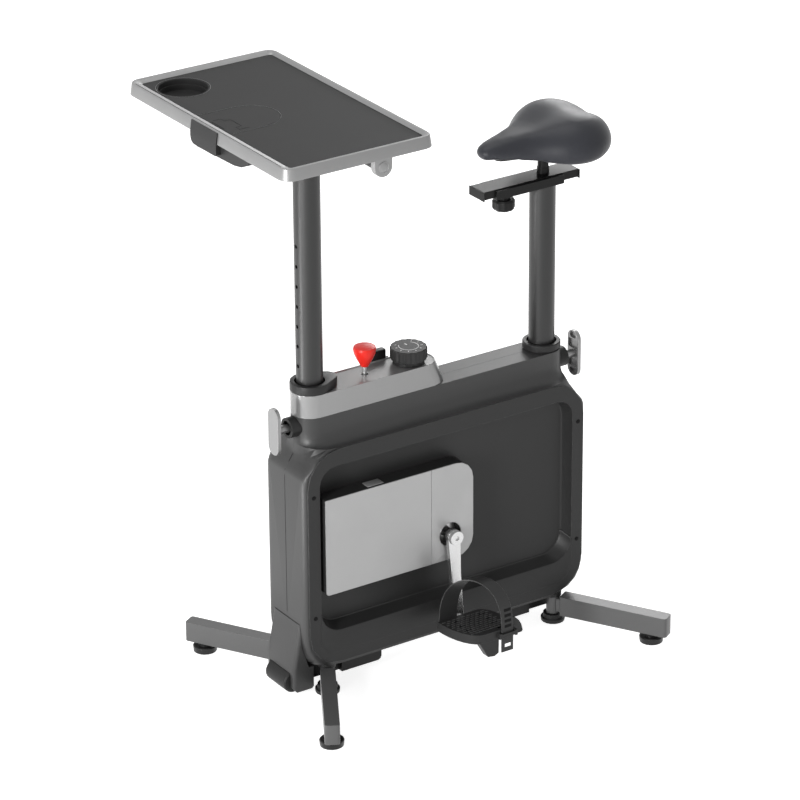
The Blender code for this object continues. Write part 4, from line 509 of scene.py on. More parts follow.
@dataclass(frozen=True)
class Finish:
    """A moulded or painted surface: its colour, gloss, grain, tone drift and edges, lightened partly as wear and
    partly as a painted highlight.
    """

    name: str
    slot: Slot
    colour: Colour
    roughness: float
    metallic: float = 0.0
    specular: float = 0.5
    cell: float = 0.0011
    coarseness: float = 0.5
    relief: float = 0.00004
    drift: float = 0.10
    patch: float = 0.06
    edge_radius: float = 0.0007
    # Amount and colour of the lighter edges: partly wear, partly a painted highlight along the edges.
    edge_wear: float = 0.35
    edge_colour: Colour = (0.22, 0.22, 0.22)

    def material(self) -> bpy.types.Material:
        """Build the material once and return it."""
        found = bpy.data.materials.get("finish_" + self.name)
        return found or self.make()

    def make(self) -> bpy.types.Material:
        """Build the material.

        Returns:
            A new material whose Principled shader takes its changing values from the groups.
        """
        material = bpy.data.materials.new("finish_" + self.name)
        material.use_nodes = True
        wiring = Wiring(material.node_tree)
        shader = material.node_tree.nodes["Principled BSDF"]
        shader.inputs["Metallic"].default_value = self.metallic
        shader.inputs["Specular IOR Level"].default_value = self.specular
        drift = wiring.group(drift_group(), Colour=(*self.colour, 1.0), Roughness=self.roughness,
                             Amount=self.drift, Patch=self.patch)
        edge = wiring.group(edge_group(), Radius=self.edge_radius, Amount=self.edge_wear)
        # The edge colour laid over the edge mask is partly wear and partly a painted highlight.
        colour = wiring.mix(edge.outputs["Mask"], self.tone(wiring, drift.outputs["Colour"]),
                            (*self.edge_colour, 1.0))
        wiring.feed(shader.inputs["Base Color"], colour)
        wiring.feed(shader.inputs["Roughness"], drift.outputs["Roughness"])
        bump = wiring.add("Bump", Height=self.height(wiring), Normal=edge.outputs["Normal"])
        bump.inputs["Distance"].default_value = self.relief
        bump.inputs["Strength"].default_value = 1.0
        wiring.feed(shader.inputs["Normal"], bump.outputs["Normal"])
        self.finish(wiring, shader)
        return material

    def tone(self, wiring: Wiring, colour: bpy.types.NodeSocket) -> bpy.types.NodeSocket:
        """The surface's colour before its edges are lightened as wear and as a painted highlight."""
        return colour

    def height(self, wiring: Wiring) -> bpy.types.NodeSocket:
        """The height of the surface's grain."""
        grain = wiring.group(grain_group(), Cell=self.cell, Coarseness=self.coarseness)
        return grain.outputs["Height"]

    def finish(self, wiring: Wiring, shader: bpy.types.Node) -> None:
        """Set what only some finishes have; a plain finish has nothing more."""


@dataclass(frozen=True)
class BrushedFinish(Finish):
    """A metal surface brushed along one axis."""

    stretch: Point = (40.0, 2400.0, 2400.0)

    def height(self, wiring: Wiring) -> bpy.types.NodeSocket:
        """The height of the brushing."""
        return wiring.group(brush_group(), Stretch=self.stretch).outputs["Height"]


@dataclass(frozen=True)
class TwoPartFinish(Finish):
    """A piece with another colour and metal below a height."""

    level: float = 0.0
    lower_colour: Colour = (0.5, 0.5, 0.5)
    lower_metallic: float = 1.0

    def above(self, wiring: Wiring) -> bpy.types.NodeSocket:
        """The mask of the upper part."""
        return wiring.group(level_group(), Level=self.level).outputs["Mask"]

    def tone(self, wiring: Wiring, colour: bpy.types.NodeSocket) -> bpy.types.NodeSocket:
        """The upper colour above the level and the lower one below it."""
        return wiring.mix(self.above(wiring), (*self.lower_colour, 1.0), colour)

    def finish(self, wiring: Wiring, shader: bpy.types.Node) -> None:
        """Give the lower part its own metallic value."""
        metallic = wiring.spread(self.above(wiring), 0.0, 1.0, self.lower_metallic, self.metallic)
        wiring.feed(shader.inputs["Metallic"], metallic)


@dataclass(frozen=True)
class SaddleVinyl(Finish):
    """The saddle's soft vinyl skin, with a light sheen."""

    sheen: float = 0.08
    sheen_roughness: float = 0.4

    def finish(self, wiring: Wiring, shader: bpy.types.Node) -> None:
        """Add the sheen of soft vinyl."""
        shader.inputs["Sheen Weight"].default_value = self.sheen
        shader.inputs["Sheen Roughness"].default_value = self.sheen_roughness


HOUSING_PLASTIC = Finish("housing_plastic", Slot.HOUSING, linear("303030"), 0.42, specular=0.42,
                         edge_wear=0.2)
# The cover's strong light edges are a painted highlight along the chamfer of its rim.
COVER_PLASTIC = Finish("cover_plastic", Slot.COVER, linear("232323"), 0.42, specular=0.28, edge_wear=0.6,
                       edge_colour=linear("8a8a8a"))
SILL_PLASTIC = Finish("sill_plastic", Slot.COVER, linear("232323"), 0.42, specular=0.28, edge_wear=0.0)
PLATE_PAINT = Finish("plate_paint", Slot.PLATE, linear("a2a2a2"), 0.38, metallic=0.5, relief=0.00002,
                     cell=0.0006, edge_colour=linear("e0e0e0"))
CONSOLE_PAINT = Finish("console_paint", Slot.CONSOLE, linear("8a8a8a"), 0.24, metallic=0.5, relief=0.000015,
                       cell=0.0006, edge_colour=linear("e8e8e8"))
TRIM_PLASTIC = Finish("trim_plastic", Slot.TRIM, linear("262626"), 0.42, specular=0.22)
SLIDE_COAT = Finish("slide_coat", Slot.TRIM, linear("161616"), 0.36, specular=0.16,
                    edge_colour=linear("4a4a4a"))
POST_COAT = Finish("post_coat", Slot.POST, linear("202020"), 0.36, specular=0.45, relief=0.00002,
                   cell=0.0005, edge_wear=0.1)
BRIGHT_STEEL = BrushedFinish("bright_steel", Slot.STEEL, linear("b0b0b0"), 0.28, metallic=1.0,
                             relief=0.000008, edge_colour=linear("f0f0f0"))
CLAMP_STEEL = BrushedFinish("clamp_steel", Slot.STEEL, linear("8c8c8c"), 0.36, metallic=0.7,
                            relief=0.000008, edge_colour=linear("d0d0d0"))
CAST_ALUMINIUM = Finish("cast_aluminium", Slot.ALUMINIUM, linear("c2c2c2"), 0.26, metallic=0.95,
                        relief=0.00002, cell=0.0008, edge_colour=linear("f0f0f0"))
BRAKE_GRIP = TwoPartFinish("brake_grip", Slot.RED, linear("dc271d"), 0.38, specular=0.3, relief=0.00002,
                           edge_wear=0.1, edge_colour=linear("ff6a5a"), level=0.6201,
                           lower_colour=linear("c8c8c8"))
TRAY_PAINT = Finish("tray_paint", Slot.TRAY, linear("8e8e8e"), 0.34, metallic=0.5, relief=0.00002,
                    cell=0.0006, edge_colour=linear("d8d8d8"))
INLAY_PLASTIC = Finish("inlay_plastic", Slot.INLAY, linear("2f2f2f"), 0.6, specular=0.12, cell=0.0008,
                       edge_colour=linear("585858"))
PEDAL_PLASTIC = Finish("pedal_plastic", Slot.PEDAL, linear("262626"), 0.44, specular=0.25)
PEDAL_GRIP = Finish("pedal_grip", Slot.PEDAL, linear("444444"), 0.4, specular=0.4,
                    edge_colour=linear("909090"))
# Light lines on the rims of the flap and the cup recess: a painted highlight.
EDGE_HIGHLIGHT = Finish("edge_light", Slot.INLAY, linear("6e6e6e"), 0.45, specular=0.3, edge_wear=0.0)
STRAP_RUBBER = Finish("strap_rubber", Slot.STRAP, linear("282828"), 0.46, specular=0.3, cell=0.0008,
                      edge_wear=0.9, edge_colour=linear("8c8c8c"))
SADDLE_SKIN = SaddleVinyl("saddle_skin", Slot.SADDLE, linear("2d2e33"), 0.42, specular=0.25, cell=0.0016,
                          coarseness=0.7, relief=0.00003, edge_wear=0.0)
LEG_PAINT = TwoPartFinish("leg_paint", Slot.LEG, linear("5c5c5c"), 0.34, metallic=0.25, specular=0.3,
                          relief=0.00002, cell=0.0006, edge_colour=linear("a0a0a0"), level=0.0175,
                          lower_colour=linear("1c1c1c"), lower_metallic=0.0)
FOOT_RUBBER = Finish("foot_rubber", Slot.RUBBER, linear("1e1e1e"), 0.5, specular=0.25)
SOCKET_DARK = Finish("socket_dark", Slot.TRIM, linear("101010"), 0.6, specular=0.1, edge_wear=0.0)
MARK_WHITE = Finish("mark_white", Slot.TRIM, linear("d8d8d8"), 0.5, edge_wear=0.0, drift=0.03)

CAD_FINISHES: dict[Finish, tuple[str, ...]] = {
    HOUSING_PLASTIC: ("housing_left", "housing_right", "front_fairing"),
    COVER_PLASTIC: ("side_cover_left", "side_cover_right"),
    PLATE_PAINT: ("side_plate_left", "side_plate_right", "crank_plate_left", "crank_plate_right"),
    CONSOLE_PAINT: ("console",),
    TRIM_PLASTIC: ("drive_box_left", "drive_box_right", "front_collar", "rear_collar", "front_sleeve",
                   "rear_sleeve", "front_clamp_boss", "rear_clamp_boss", "resistance_dial", "side_clip",
                   "dock_wrap", "dock_pocket", "tilt_crossbar", "saddle_base", "front_base_rail",
                   "rear_base_rail"),
    SLIDE_COAT: ("slide_channel", "slide_bar", "slide_lock_knob", "saddle_stem"),
    POST_COAT: ("front_post", "rear_post"),
    BRIGHT_STEEL: ("crank_axle", "bottom_bracket"),
    CLAMP_STEEL: ("front_clamp_handle", "rear_clamp_handle"),
    CAST_ALUMINIUM: ("crank_arm_left", "crank_arm_right"),
    BRAKE_GRIP: ("brake_knob",),
    TRAY_PAINT: ("desk_tray", "tilt_lug_left", "tilt_lug_right"),
    INLAY_PLASTIC: ("desk_inlay", "cup_holder", "desk_flap"),
    PEDAL_PLASTIC: ("pedal_left", "pedal_right"),
    STRAP_RUBBER: ("strap_left", "strap_right"),
    LEG_PAINT: ("front_left_leg", "front_right_leg", "rear_left_leg", "rear_right_leg"),
    FOOT_RUBBER: ("front_left_hinge_foot", "front_right_hinge_foot", "rear_left_hinge_foot",
                  "rear_right_hinge_foot", "transport_roller"),
}


def smooth_normals(mesh: bpy.types.Mesh, angle: float) -> None:
    """Give a faceted mesh the normals of the round form that its facets stand for.

    Args:
        mesh: a mesh of separate triangles.
        angle: facets that meet at less than this angle are shaded as one surface.
    """
    count = len(mesh.polygons)
    corners = np.zeros(len(mesh.loops), np.int64)
    mesh.loops.foreach_get("vertex_index", corners)
    places = np.zeros(len(mesh.vertices) * 3)
    mesh.vertices.foreach_get("co", places)
    places = places.reshape(-1, 3)[corners]
    steps = np.round(places * STEPS_PER_METRE).astype(np.int64)
    _, shared = np.unique(steps, axis=0, return_inverse=True)
    shared = shared.reshape(-1)
    triangles = places.reshape(count, 3, 3)
    normals = np.cross(triangles[:, 1] - triangles[:, 0], triangles[:, 2] - triangles[:, 0])
    lengths = np.linalg.norm(normals, axis=1, keepdims=True)
    normals = normals / np.maximum(lengths, LEAST_LENGTH)
    spans = []
    for i in range(3):
        one = triangles[:, (i + 1) % 3] - triangles[:, i]
        two = triangles[:, (i + 2) % 3] - triangles[:, i]
        spread = np.linalg.norm(one, axis=1) * np.linalg.norm(two, axis=1)
        cosine = (one * two).sum(1) / np.maximum(spread, LEAST_LENGTH)
        spans.append(np.arccos(np.clip(cosine, -1, 1)))
    weights = np.stack(spans, axis=1).reshape(-1)
    faces = np.repeat(np.arange(count), 3)
    order = np.argsort(shared, kind="stable")
    starts = np.flatnonzero(np.r_[True, np.diff(shared[order]) > 0])
    limit = math.cos(angle)
    result = np.zeros((len(corners), 3))
    for members in np.split(order, starts[1:]):
        around = normals[faces[members]]
        near = (around @ around.T) > limit
        total = near @ (around * weights[members, None])
        result[members] = total / np.maximum(np.linalg.norm(total, axis=1, keepdims=True), LEAST_LENGTH)
    mesh.normals_split_custom_set(result.tolist())


def add_piece(name: str, mesh: bpy.types.Mesh, finish: Finish, body: Body) -> bpy.types.Object:
    """Put a mesh in the scene as a piece of the object.

    Args:
        name: the piece's name.
        mesh: its mesh, in the frame's own place.
        finish: what it is made of.
        body: the body that it rides on.

    Returns:
        The new object.
    """
    piece = bpy.data.objects.new(name, mesh)
    bpy.context.scene.collection.objects.link(piece)
    mesh.materials.clear()
    mesh.materials.append(finish.material())
    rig.ride(piece, body.value)
    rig.slot(piece, finish.slot.value)
    LOG.info("%s rides on %s, finish %s", name, body.value, finish.name)
    return piece


def mesh_from(name: str, build: Callable[[bmesh.types.BMesh], None],
              angle: float = CREASE_DEGREES) -> bpy.types.Mesh:
    """Make a smooth-shaded mesh with a builder function.

    Args:
        name: the mesh's name.
        build: adds the geometry to a bmesh.
        angle: edges sharper than this many degrees stay crisp.

    Returns:
        The finished mesh.
    """
    mesh = bpy.data.meshes.new(name)
    bm = bmesh.new()
    build(bm)
    bmesh.ops.recalc_face_normals(bm, faces=bm.faces)
    bm.to_mesh(mesh)
    bm.free()
    mesh.shade_smooth()
    mesh.set_sharp_from_angle(angle=math.radians(angle))
    return mesh


def make_piece(name: str, build: Callable[[bmesh.types.BMesh], None], finish: Finish, body: Body,
               angle: float = CREASE_DEGREES) -> bpy.types.Object:
    """Build a smooth-shaded mesh and put it in the scene as a piece.

    Args:
        name: the piece's name.
        build: adds the geometry to a bmesh.
        finish: what the piece is made of.
        body: the body that it rides on.
        angle: edges sharper than this many degrees stay crisp.

    Returns:
        The new object.
    """
    return add_piece(name, mesh_from(name, build, angle), finish, body)


def add_turned(bm: bmesh.types.BMesh, profile: Sequence[tuple[float, float]], centre: Point, axis: Point,
               steps: int) -> None:
    """Add a closed turned form to a bmesh.

    Args:
        bm: the bmesh that takes the form.
        profile: radius and height pairs, where the first and the last lie on the axis.
        centre: the point at height nought.
        axis: the direction of growing height.
        steps: facets round the form.
    """
    turn = Vector(axis).to_track_quat('Z', 'Y')
    origin = Vector(centre)
    angles = [math.tau * i / steps for i in range(steps)]
    rings = []
    for radius, height in profile:
        if radius == 0.0:
            rings.append([bm.verts.new(origin + turn @ Vector((0, 0, height)))])
            continue
        points = [Vector((radius * math.cos(a), radius * math.sin(a), height)) for a in angles]
        rings.append([bm.verts.new(origin + turn @ point) for point in points])
    for lower, upper in zip(rings, rings[1:]):
        for i in range(steps):
            j = (i + 1) % steps
            corners = [lower[i % len(lower)], lower[j % len(lower)],
                       upper[j % len(upper)], upper[i % len(upper)]]
            bm.faces.new(list(dict.fromkeys(corners)))


def add_block(bm: bmesh.types.BMesh, low: Point, high: Point, bevel: float) -> None:
    """Add an upright block with bevelled edges to a bmesh.

    Args:
        bm: the bmesh that takes the block.
        low: its lowest corner.
        high: its highest corner.
        bevel: the bevel's width.
    """
    made = bmesh.ops.create_cube(bm, size=1.0)["verts"]
    size = Vector(high) - Vector(low)
    bmesh.ops.scale(bm, vec=size, verts=made)
    bmesh.ops.translate(bm, vec=(Vector(low) + Vector(high)) / 2, verts=made)
    edges = list({edge for vert in made for edge in vert.link_edges})
    bmesh.ops.bevel(bm, geom=edges, offset=bevel, segments=BEVEL_STEPS, affect='EDGES', profile=0.5)


def add_ribbon(bm: bmesh.types.BMesh, points: Sequence[Point], width: float, up: Point,
               height: float) -> None:
    """Add a thin raised line along points, as a parting line or a printed mark.

    Args:
        bm: the bmesh that takes the line.
        points: the line's middle, on the surface.
        width: the line's width.
        up: the direction away from the surface.
        height: the line's thickness.
    """
    rise = Vector(up) * height
    path = [Vector(point) for point in points]
    rows = []
    for i, point in enumerate(path):
        ahead = path[min(i + 1, len(path) - 1)] - path[max(i - 1, 0)]
        across = ahead.cross(Vector(up)).normalized() * width / 2
        corners = (point - across, point + across, point + across + rise, point - across + rise)
        rows.append([bm.verts.new(corner) for corner in corners])
    for first, second in zip(rows, rows[1:]):
        for i in range(4):
            j = (i + 1) % 4
            bm.faces.new((first[i], first[j], second[j], second[i]))
    bm.faces.new(rows[0])
    bm.faces.new(list(reversed(rows[-1])))


@cache
def surface_tree(node: str) -> BVHTree:
    """The search tree of a CAD node's faces, made once."""
    mesh = bpy.data.objects[node].data
    return BVHTree.FromPolygons([v.co for v in mesh.vertices], [tuple(f.vertices) for f in mesh.polygons])


def surface_point(node: str, start: Point, direction: Point) -> Vector:
    """Find where a ray meets a CAD node.

    Args:
        node: the node's name.
        start: where the ray starts.
        direction: where it goes.

    Returns:
        The first point that it meets.
    """
    place = surface_tree(node).ray_cast(Vector(start), Vector(direction))[0]
    if place is None:
        raise ValueError(f"no surface of {node} from {start}")
    return place


def outer_face(node: str) -> float:
    """How far a CAD node reaches from the bike's centre plane."""
    low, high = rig.box(node)
    return max(abs(low.y), abs(high.y))


@dataclass
class Frame:
    """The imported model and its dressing."""

    packed: dict = field(default_factory=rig.load)

    def dress(self) -> None:
        """Give every CAD node its finish and smooth normals."""
        for finish, names in CAD_FINISHES.items():
            for name in names:
                node = self.packed["nodes"][name]
                node.material_slots[0].material = finish.material()
                smooth_normals(node.data, FLUTE_ANGLE if name in FLUTED_NODES else SMOOTH_ANGLE)
                LOG.info("%s keeps its CAD form, finish %s", name, finish.name)


@dataclass
class Fastener:
    """A small plain screw head with a domed top.

    The dome's outline is in shares of the radius and of the height, out from the axis and back to it.
    """

    radius: float = 0.0042
    height: float = 0.0011
    dome: tuple[tuple[float, float], ...] = ((0.0, 0.0), (1.0, 0.0), (1.0, 0.35), (0.86, 0.8), (0.5, 1.0),
                                             (0.0, 1.0))
    steps: int = 20

    def build(self, name: str, seats: Sequence[tuple[Point, Point]], finish: Finish,
              body: Body) -> bpy.types.Object:
        """Build a group of like screws.

        Args:
            name: the group's name.
            seats: the point and the outward direction of each screw.
            finish: the screws' finish.
            body: the body they ride on.

        Returns:
            The group as one object.
        """
        profile = [(self.radius * radius, self.height * height) for radius, height in self.dome]

        def heads(bm: bmesh.types.BMesh) -> None:
            """Add every screw head, just clear of its seat."""
            for point, out in seats:
                add_turned(bm, profile, tuple(Vector(point) + Vector(out) * SURFACE_GAP), out, self.steps)

        return make_piece(name, heads, finish, body)


@dataclass
class HousingTrim:
    """The small pieces on the housing: the side covers' screws and the tab on each drive box."""

    cover_screw_x: float = 0.297
    cover_screw_low: float = 0.172
    cover_screw_high: float = 0.420
    tab_front: float = -0.180
    tab_rear: float = -0.145
    tab_inner: float = 0.050
    tab_outer: float = 0.070
    tab_height: float = 0.0012
    tab_bevel: float = 0.0004

    def build(self) -> None:
        """Build the screws and the tabs of both sides."""
        for side in Side:
            y = side.value * outer_face(f"side_cover_{side.label}")
            seats = [((x, y, z), side.out) for x in (-self.cover_screw_x, self.cover_screw_x)
                     for z in (self.cover_screw_low, self.cover_screw_high)]
            # Dark screw heads at the screw holes: their darkness is partly the screws and partly painted shade in the
            # holes.
            Fastener().build(f"cover_screws_{side.label}", seats, SOCKET_DARK, Body.FRAME)
            self.tab(side)

    def tab(self, side: Side) -> None:
        """Build the silver tab on top of a drive box.

        Args:
            side: the bike's side.
        """
        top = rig.box(f"drive_box_{side.label}")[1].z + SURFACE_GAP
        inner, outer = sorted((side.value * self.tab_inner, side.value * self.tab_outer))
        low = (self.tab_front, inner, top)
        high = (self.tab_rear, outer, top + self.tab_height)
        make_piece(f"box_tab_{side.label}", lambda bm: add_block(bm, low, high, self.tab_bevel),
                   PLATE_PAINT, Body.FRAME)


@dataclass
class RecessSill:
    """The raised lower part of a side cover's recess, which the solid lacks, as a moulded filler.

    It lies between the solid's own lower boundary and a higher edge. A rise is a height above the cover's
    lowest point, and a draft is how far a wall leans over the recess's whole depth. The edge's wall ends in
    a fillet on the panel, and in a small rounding at a lip that laps over the cover's face.
    """

    half_length: float = 0.284
    front_draft: float = 0.003
    rear_draft: float = 0.0065
    solid_rise: float = 0.0225
    solid_draft: float = 0.012
    solid_corner: float = 0.035
    edge_rise: float = 0.067
    edge_draft: float = 0.0085
    edge_corner: float = 0.045
    depth: float = 0.027
    fillet: float = 0.003
    fillet_start: float = 0.9
    fillet_middle: float = 0.97
    fillet_share: float = 0.3
    lap: float = 0.002
    lap_height: float = 0.00015
    lip_round: float = 0.0012
    lip_step: float = 0.0004
    face_gap: float = 0.00005
    clearance: float = 0.0003
    steps: int = 10
    crease: float = 30.0

    def path(self, bottom: float, corner: float, share: float, extra: float,
             top: float) -> list[tuple[float, float]]:
        """Follow a lower boundary of the recess in X and Z, down one side, along, and up the other.

        Args:
            bottom: the height of its lowest stretch.
            corner: the radius of its two corners.
            share: the depth in the recess, from 0 at the face to 1 at the panel.
            extra: how far the line lies inside the boundary.
            top: the height where it starts and ends.

        Returns:
            The line's points.
        """
        left = -self.half_length + self.front_draft * share + extra
        right = self.half_length - self.rear_draft * share - extra
        radius = corner - extra
        low = bottom + extra
        bends = [math.pi / 2 * i / self.steps for i in range(self.steps + 1)]
        swings = [(radius * (1 - math.cos(a)), low + radius * (1 - math.sin(a))) for a in bends]
        points = [(left, top)]
        points += [(left + across, height) for across, height in swings]
        points += [(right - across, height) for across, height in reversed(swings)]
        return points + [(right, top)]

    def build(self, side: Side) -> bpy.types.Object:
        """Build one side's sill as a loft along the recess's lower boundary.

        Args:
            side: the bike's side.

        Returns:
            The sill, which rides on the frame.
        """
        cover = f"side_cover_{side.label}"
        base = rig.box(cover)[0].z
        face = outer_face(cover)
        panel = face - self.depth
        top = base + self.edge_rise + self.edge_corner
        gap, fillet, lip = self.clearance, self.fillet, face + self.lap_height

        def solid(share: float, extra: float) -> list[tuple[float, float]]:
            """The solid's own boundary, at a share of the depth."""
            bottom = base + self.solid_rise + self.solid_draft * share
            return self.path(bottom, self.solid_corner, share, extra, top)

        def edge(share: float, extra: float) -> list[tuple[float, float]]:
            """The sill's higher boundary, at a share of the depth."""
            bottom = base + self.edge_rise + self.edge_draft * share
            return self.path(bottom, self.edge_corner, share, extra + 2 * gap, top)

        rows = [(lip, solid(0.0, -self.lap)),
                (lip, edge(0.0, -self.lip_round)),
                (lip - self.lip_step, edge(0.0, -self.lip_step)),
                (face - self.lip_round, edge(0.0, 0.0)),
                (panel + fillet, edge(self.fillet_start, 0.0)),
                (panel + fillet * self.fillet_share, edge(self.fillet_middle, fillet * self.fillet_share)),
                (panel + gap, edge(1.0, fillet)),
                (panel + gap, solid(1.0, fillet + gap)),
                (panel + fillet, solid(self.fillet_start, gap)),
                (face + self.face_gap, solid(0.0, gap)),
                (face + self.face_gap, solid(0.0, -self.lap))]

        def loft(bm: bmesh.types.BMesh) -> None:
            """Join the rows into one closed form, with a cap at each end.

            Args:
                bm: the bmesh that takes the form.
            """
            rings = [[bm.verts.new((x, side.value * y, z)) for x, z in path] for y, path in rows]
            for first, second in zip(rings, rings[1:] + rings[:1]):
                for i in range(len(first) - 1):
                    bm.faces.new((first[i], first[i + 1], second[i + 1], second[i]))
            bm.faces.new([ring[0] for ring in rings])
            bm.faces.new([ring[-1] for ring in reversed(rings)])

        return make_piece(f"recess_sill_{side.label}", loft, SILL_PLASTIC, Body.FRAME, self.crease)


@dataclass
class PartingLines:
    """The thin lines where the housing's two halves meet on its end faces."""

    low: float = 0.165
    high: float = 0.486
    width: float = 0.0008
    height: float = 0.0002
    offset: float = 0.0006
    points: int = 24
    ray_start: float = 0.6

    def build(self, end: End) -> bpy.types.Object:
        """Build one end's line on the housing's own surface.

        Args:
            end: the bike's end.

        Returns:
            The line, which rides on the frame.
        """
        out = (float(end.value), 0.0, 0.0)
        inward = (-float(end.value), 0.0, 0.0)
        places = []
        for i in range(self.points):
            z = self.low + (self.high - self.low) * i / (self.points - 1)
            hit = surface_point("housing_left", (end.value * self.ray_start, -self.offset, z), inward)
            places.append((hit.x + end.value * SURFACE_GAP, 0.0, z))
        return make_piece(f"parting_line_{end.label}",
                          lambda bm: add_ribbon(bm, places, self.width, out, self.height), SOCKET_DARK,
                          Body.FRAME)


@dataclass
class LugDiscs:
    """The round pin heads in the two lugs that carry the desk's crossbar.

    The rim's outline gives each point's inset from the disc's edge and its height: up, over a small bevel,
    down into a groove and up again towards the flat crown.
    """

    lug_radius: float = 0.018
    disc_radius: float = 0.0108
    rim: tuple[tuple[float, float], ...] = ((0.0, 0.0), (0.0, 0.0006), (0.0004, 0.0010), (0.0011, 0.0010),
                                            (0.0014, 0.0004), (0.0020, 0.0008))
    crown_radius: float = 0.002
    crown_height: float = 0.0013
    steps: int = 40

    def build(self, side: Side) -> bpy.types.Object:
        """Build one pin head with a turned rim.

        Args:
            side: the bike's side.

        Returns:
            The pin head, which rides on the desk.
        """
        node = f"tilt_lug_{side.label}"
        low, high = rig.box(node)
        face = side.value * (outer_face(node) + SURFACE_GAP)
        centre = ((low.x + high.x) / 2, face, low.z + self.lug_radius)
        profile = [(0.0, 0.0)]
        profile += [(self.disc_radius - inset, height) for inset, height in self.rim]
        profile += [(self.crown_radius, self.crown_height), (0.0, self.crown_height)]
        return make_piece(f"lug_disc_{side.label}",
                          lambda bm: add_turned(bm, profile, centre, side.out, self.steps), TRAY_PAINT,
                          Body.DESK)


@dataclass
class StrapLadder:
    """The row of adjustment slots up the outer leg of a pedal strap."""

    front: float = 0.031
    rear: float = 0.0455
    first_rise: float = 0.016
    pitch: float = 0.0108
    slots: int = 4
    slot_height: float = 0.0056
    depth: float = 0.0003
    ray_start: float = 0.4

    def build(self, side: Side) -> bpy.types.Object:
        """Build the slots as thin dark inlays on the strap's own surface; their darkness is painted shade of the open
        slots.

        Args:
            side: the bike's side.

        Returns:
            The slots as one object that rides on the pedal.
        """
        node = f"strap_{side.label}"
        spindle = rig.box(f"pedal_{side.label}")[1].z - PedalTread.fin_rise
        lift = Vector(side.out) * SURFACE_GAP
        rise = Vector(side.out) * self.depth

        def face(x: float, z: float) -> Vector:
            """A point just clear of the strap's outer face."""
            return surface_point(node, (x, side.value * self.ray_start, z), (0.0, -side.value, 0.0)) + lift

        def slots(bm: bmesh.types.BMesh) -> None:
            """Add every slot as a thin plate.

            Args:
                bm: the bmesh that takes the slots.
            """
            for i in range(self.slots):
                low = spindle + self.first_rise + self.pitch * i
                high = low + self.slot_height
                corners = [face(self.front, low), face(self.rear, low), face(self.rear, high),
                           face(self.front, high)]
                inner = [bm.verts.new(corner) for corner in corners]
                outer = [bm.verts.new(corner + rise) for corner in corners]
                bm.faces.new(inner)
                bm.faces.new(list(reversed(outer)))
                for a in range(4):
                    b = (a + 1) % 4
                    bm.faces.new((inner[a], outer[a], outer[b], inner[b]))

        # Dark plates in place of open slots: painted shade.
        return make_piece(f"strap_ladder_{side.label}", slots, SOCKET_DARK, side.pedal_body)


@dataclass
class DialMarks:
    """Plain marks on the resistance dial: an arc, ticks round it and a pointer towards its gap."""

    centre_x: float = -0.042
    width: float = 0.0015
    height: float = 0.00025
    sweep: float = 270.0
    arc_radius: float = 0.0185
    arc_steps: int = 36
    ticks: int = 9
    tick_inner: float = 0.0225
    tick_outer: float = 0.0265
    pointer_angle: float = 90.0
    pointer_inner: float = 0.006
    pointer_outer: float = 0.014
    pointer_width: float = 0.0024

    def build(self) -> bpy.types.Object:
        """Build the marks as one raised print.

        Returns:
            The marks, which ride on the dial.
        """
        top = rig.box("resistance_dial")[1].z + SURFACE_GAP
        start = self.pointer_angle + (360.0 - self.sweep) / 2

        def spot(radius: float, degrees: float) -> Point:
            """A point on the dial's top."""
            angle = math.radians(degrees)
            return (self.centre_x + radius * math.cos(angle), radius * math.sin(angle), top)

        def marks(bm: bmesh.types.BMesh) -> None:
            """Add the arc, the ticks and the pointer.

            Args:
                bm: the bmesh that takes the marks.
            """
            turns = [start + self.sweep * i / self.arc_steps for i in range(self.arc_steps + 1)]
            add_ribbon(bm, [spot(self.arc_radius, turn) for turn in turns], self.width, UP, self.height)
            for i in range(self.ticks):
                angle = start + self.sweep * i / (self.ticks - 1)
                tick = [spot(self.tick_inner, angle), spot(self.tick_outer, angle)]
                add_ribbon(bm, tick, self.width, UP, self.height)
            pointer = [spot(self.pointer_inner, self.pointer_angle),
                       spot(self.pointer_outer, self.pointer_angle)]
            add_ribbon(bm, pointer, self.pointer_width, UP, self.height)

        return make_piece("dial_marks", marks, MARK_WHITE, Body.DIAL)


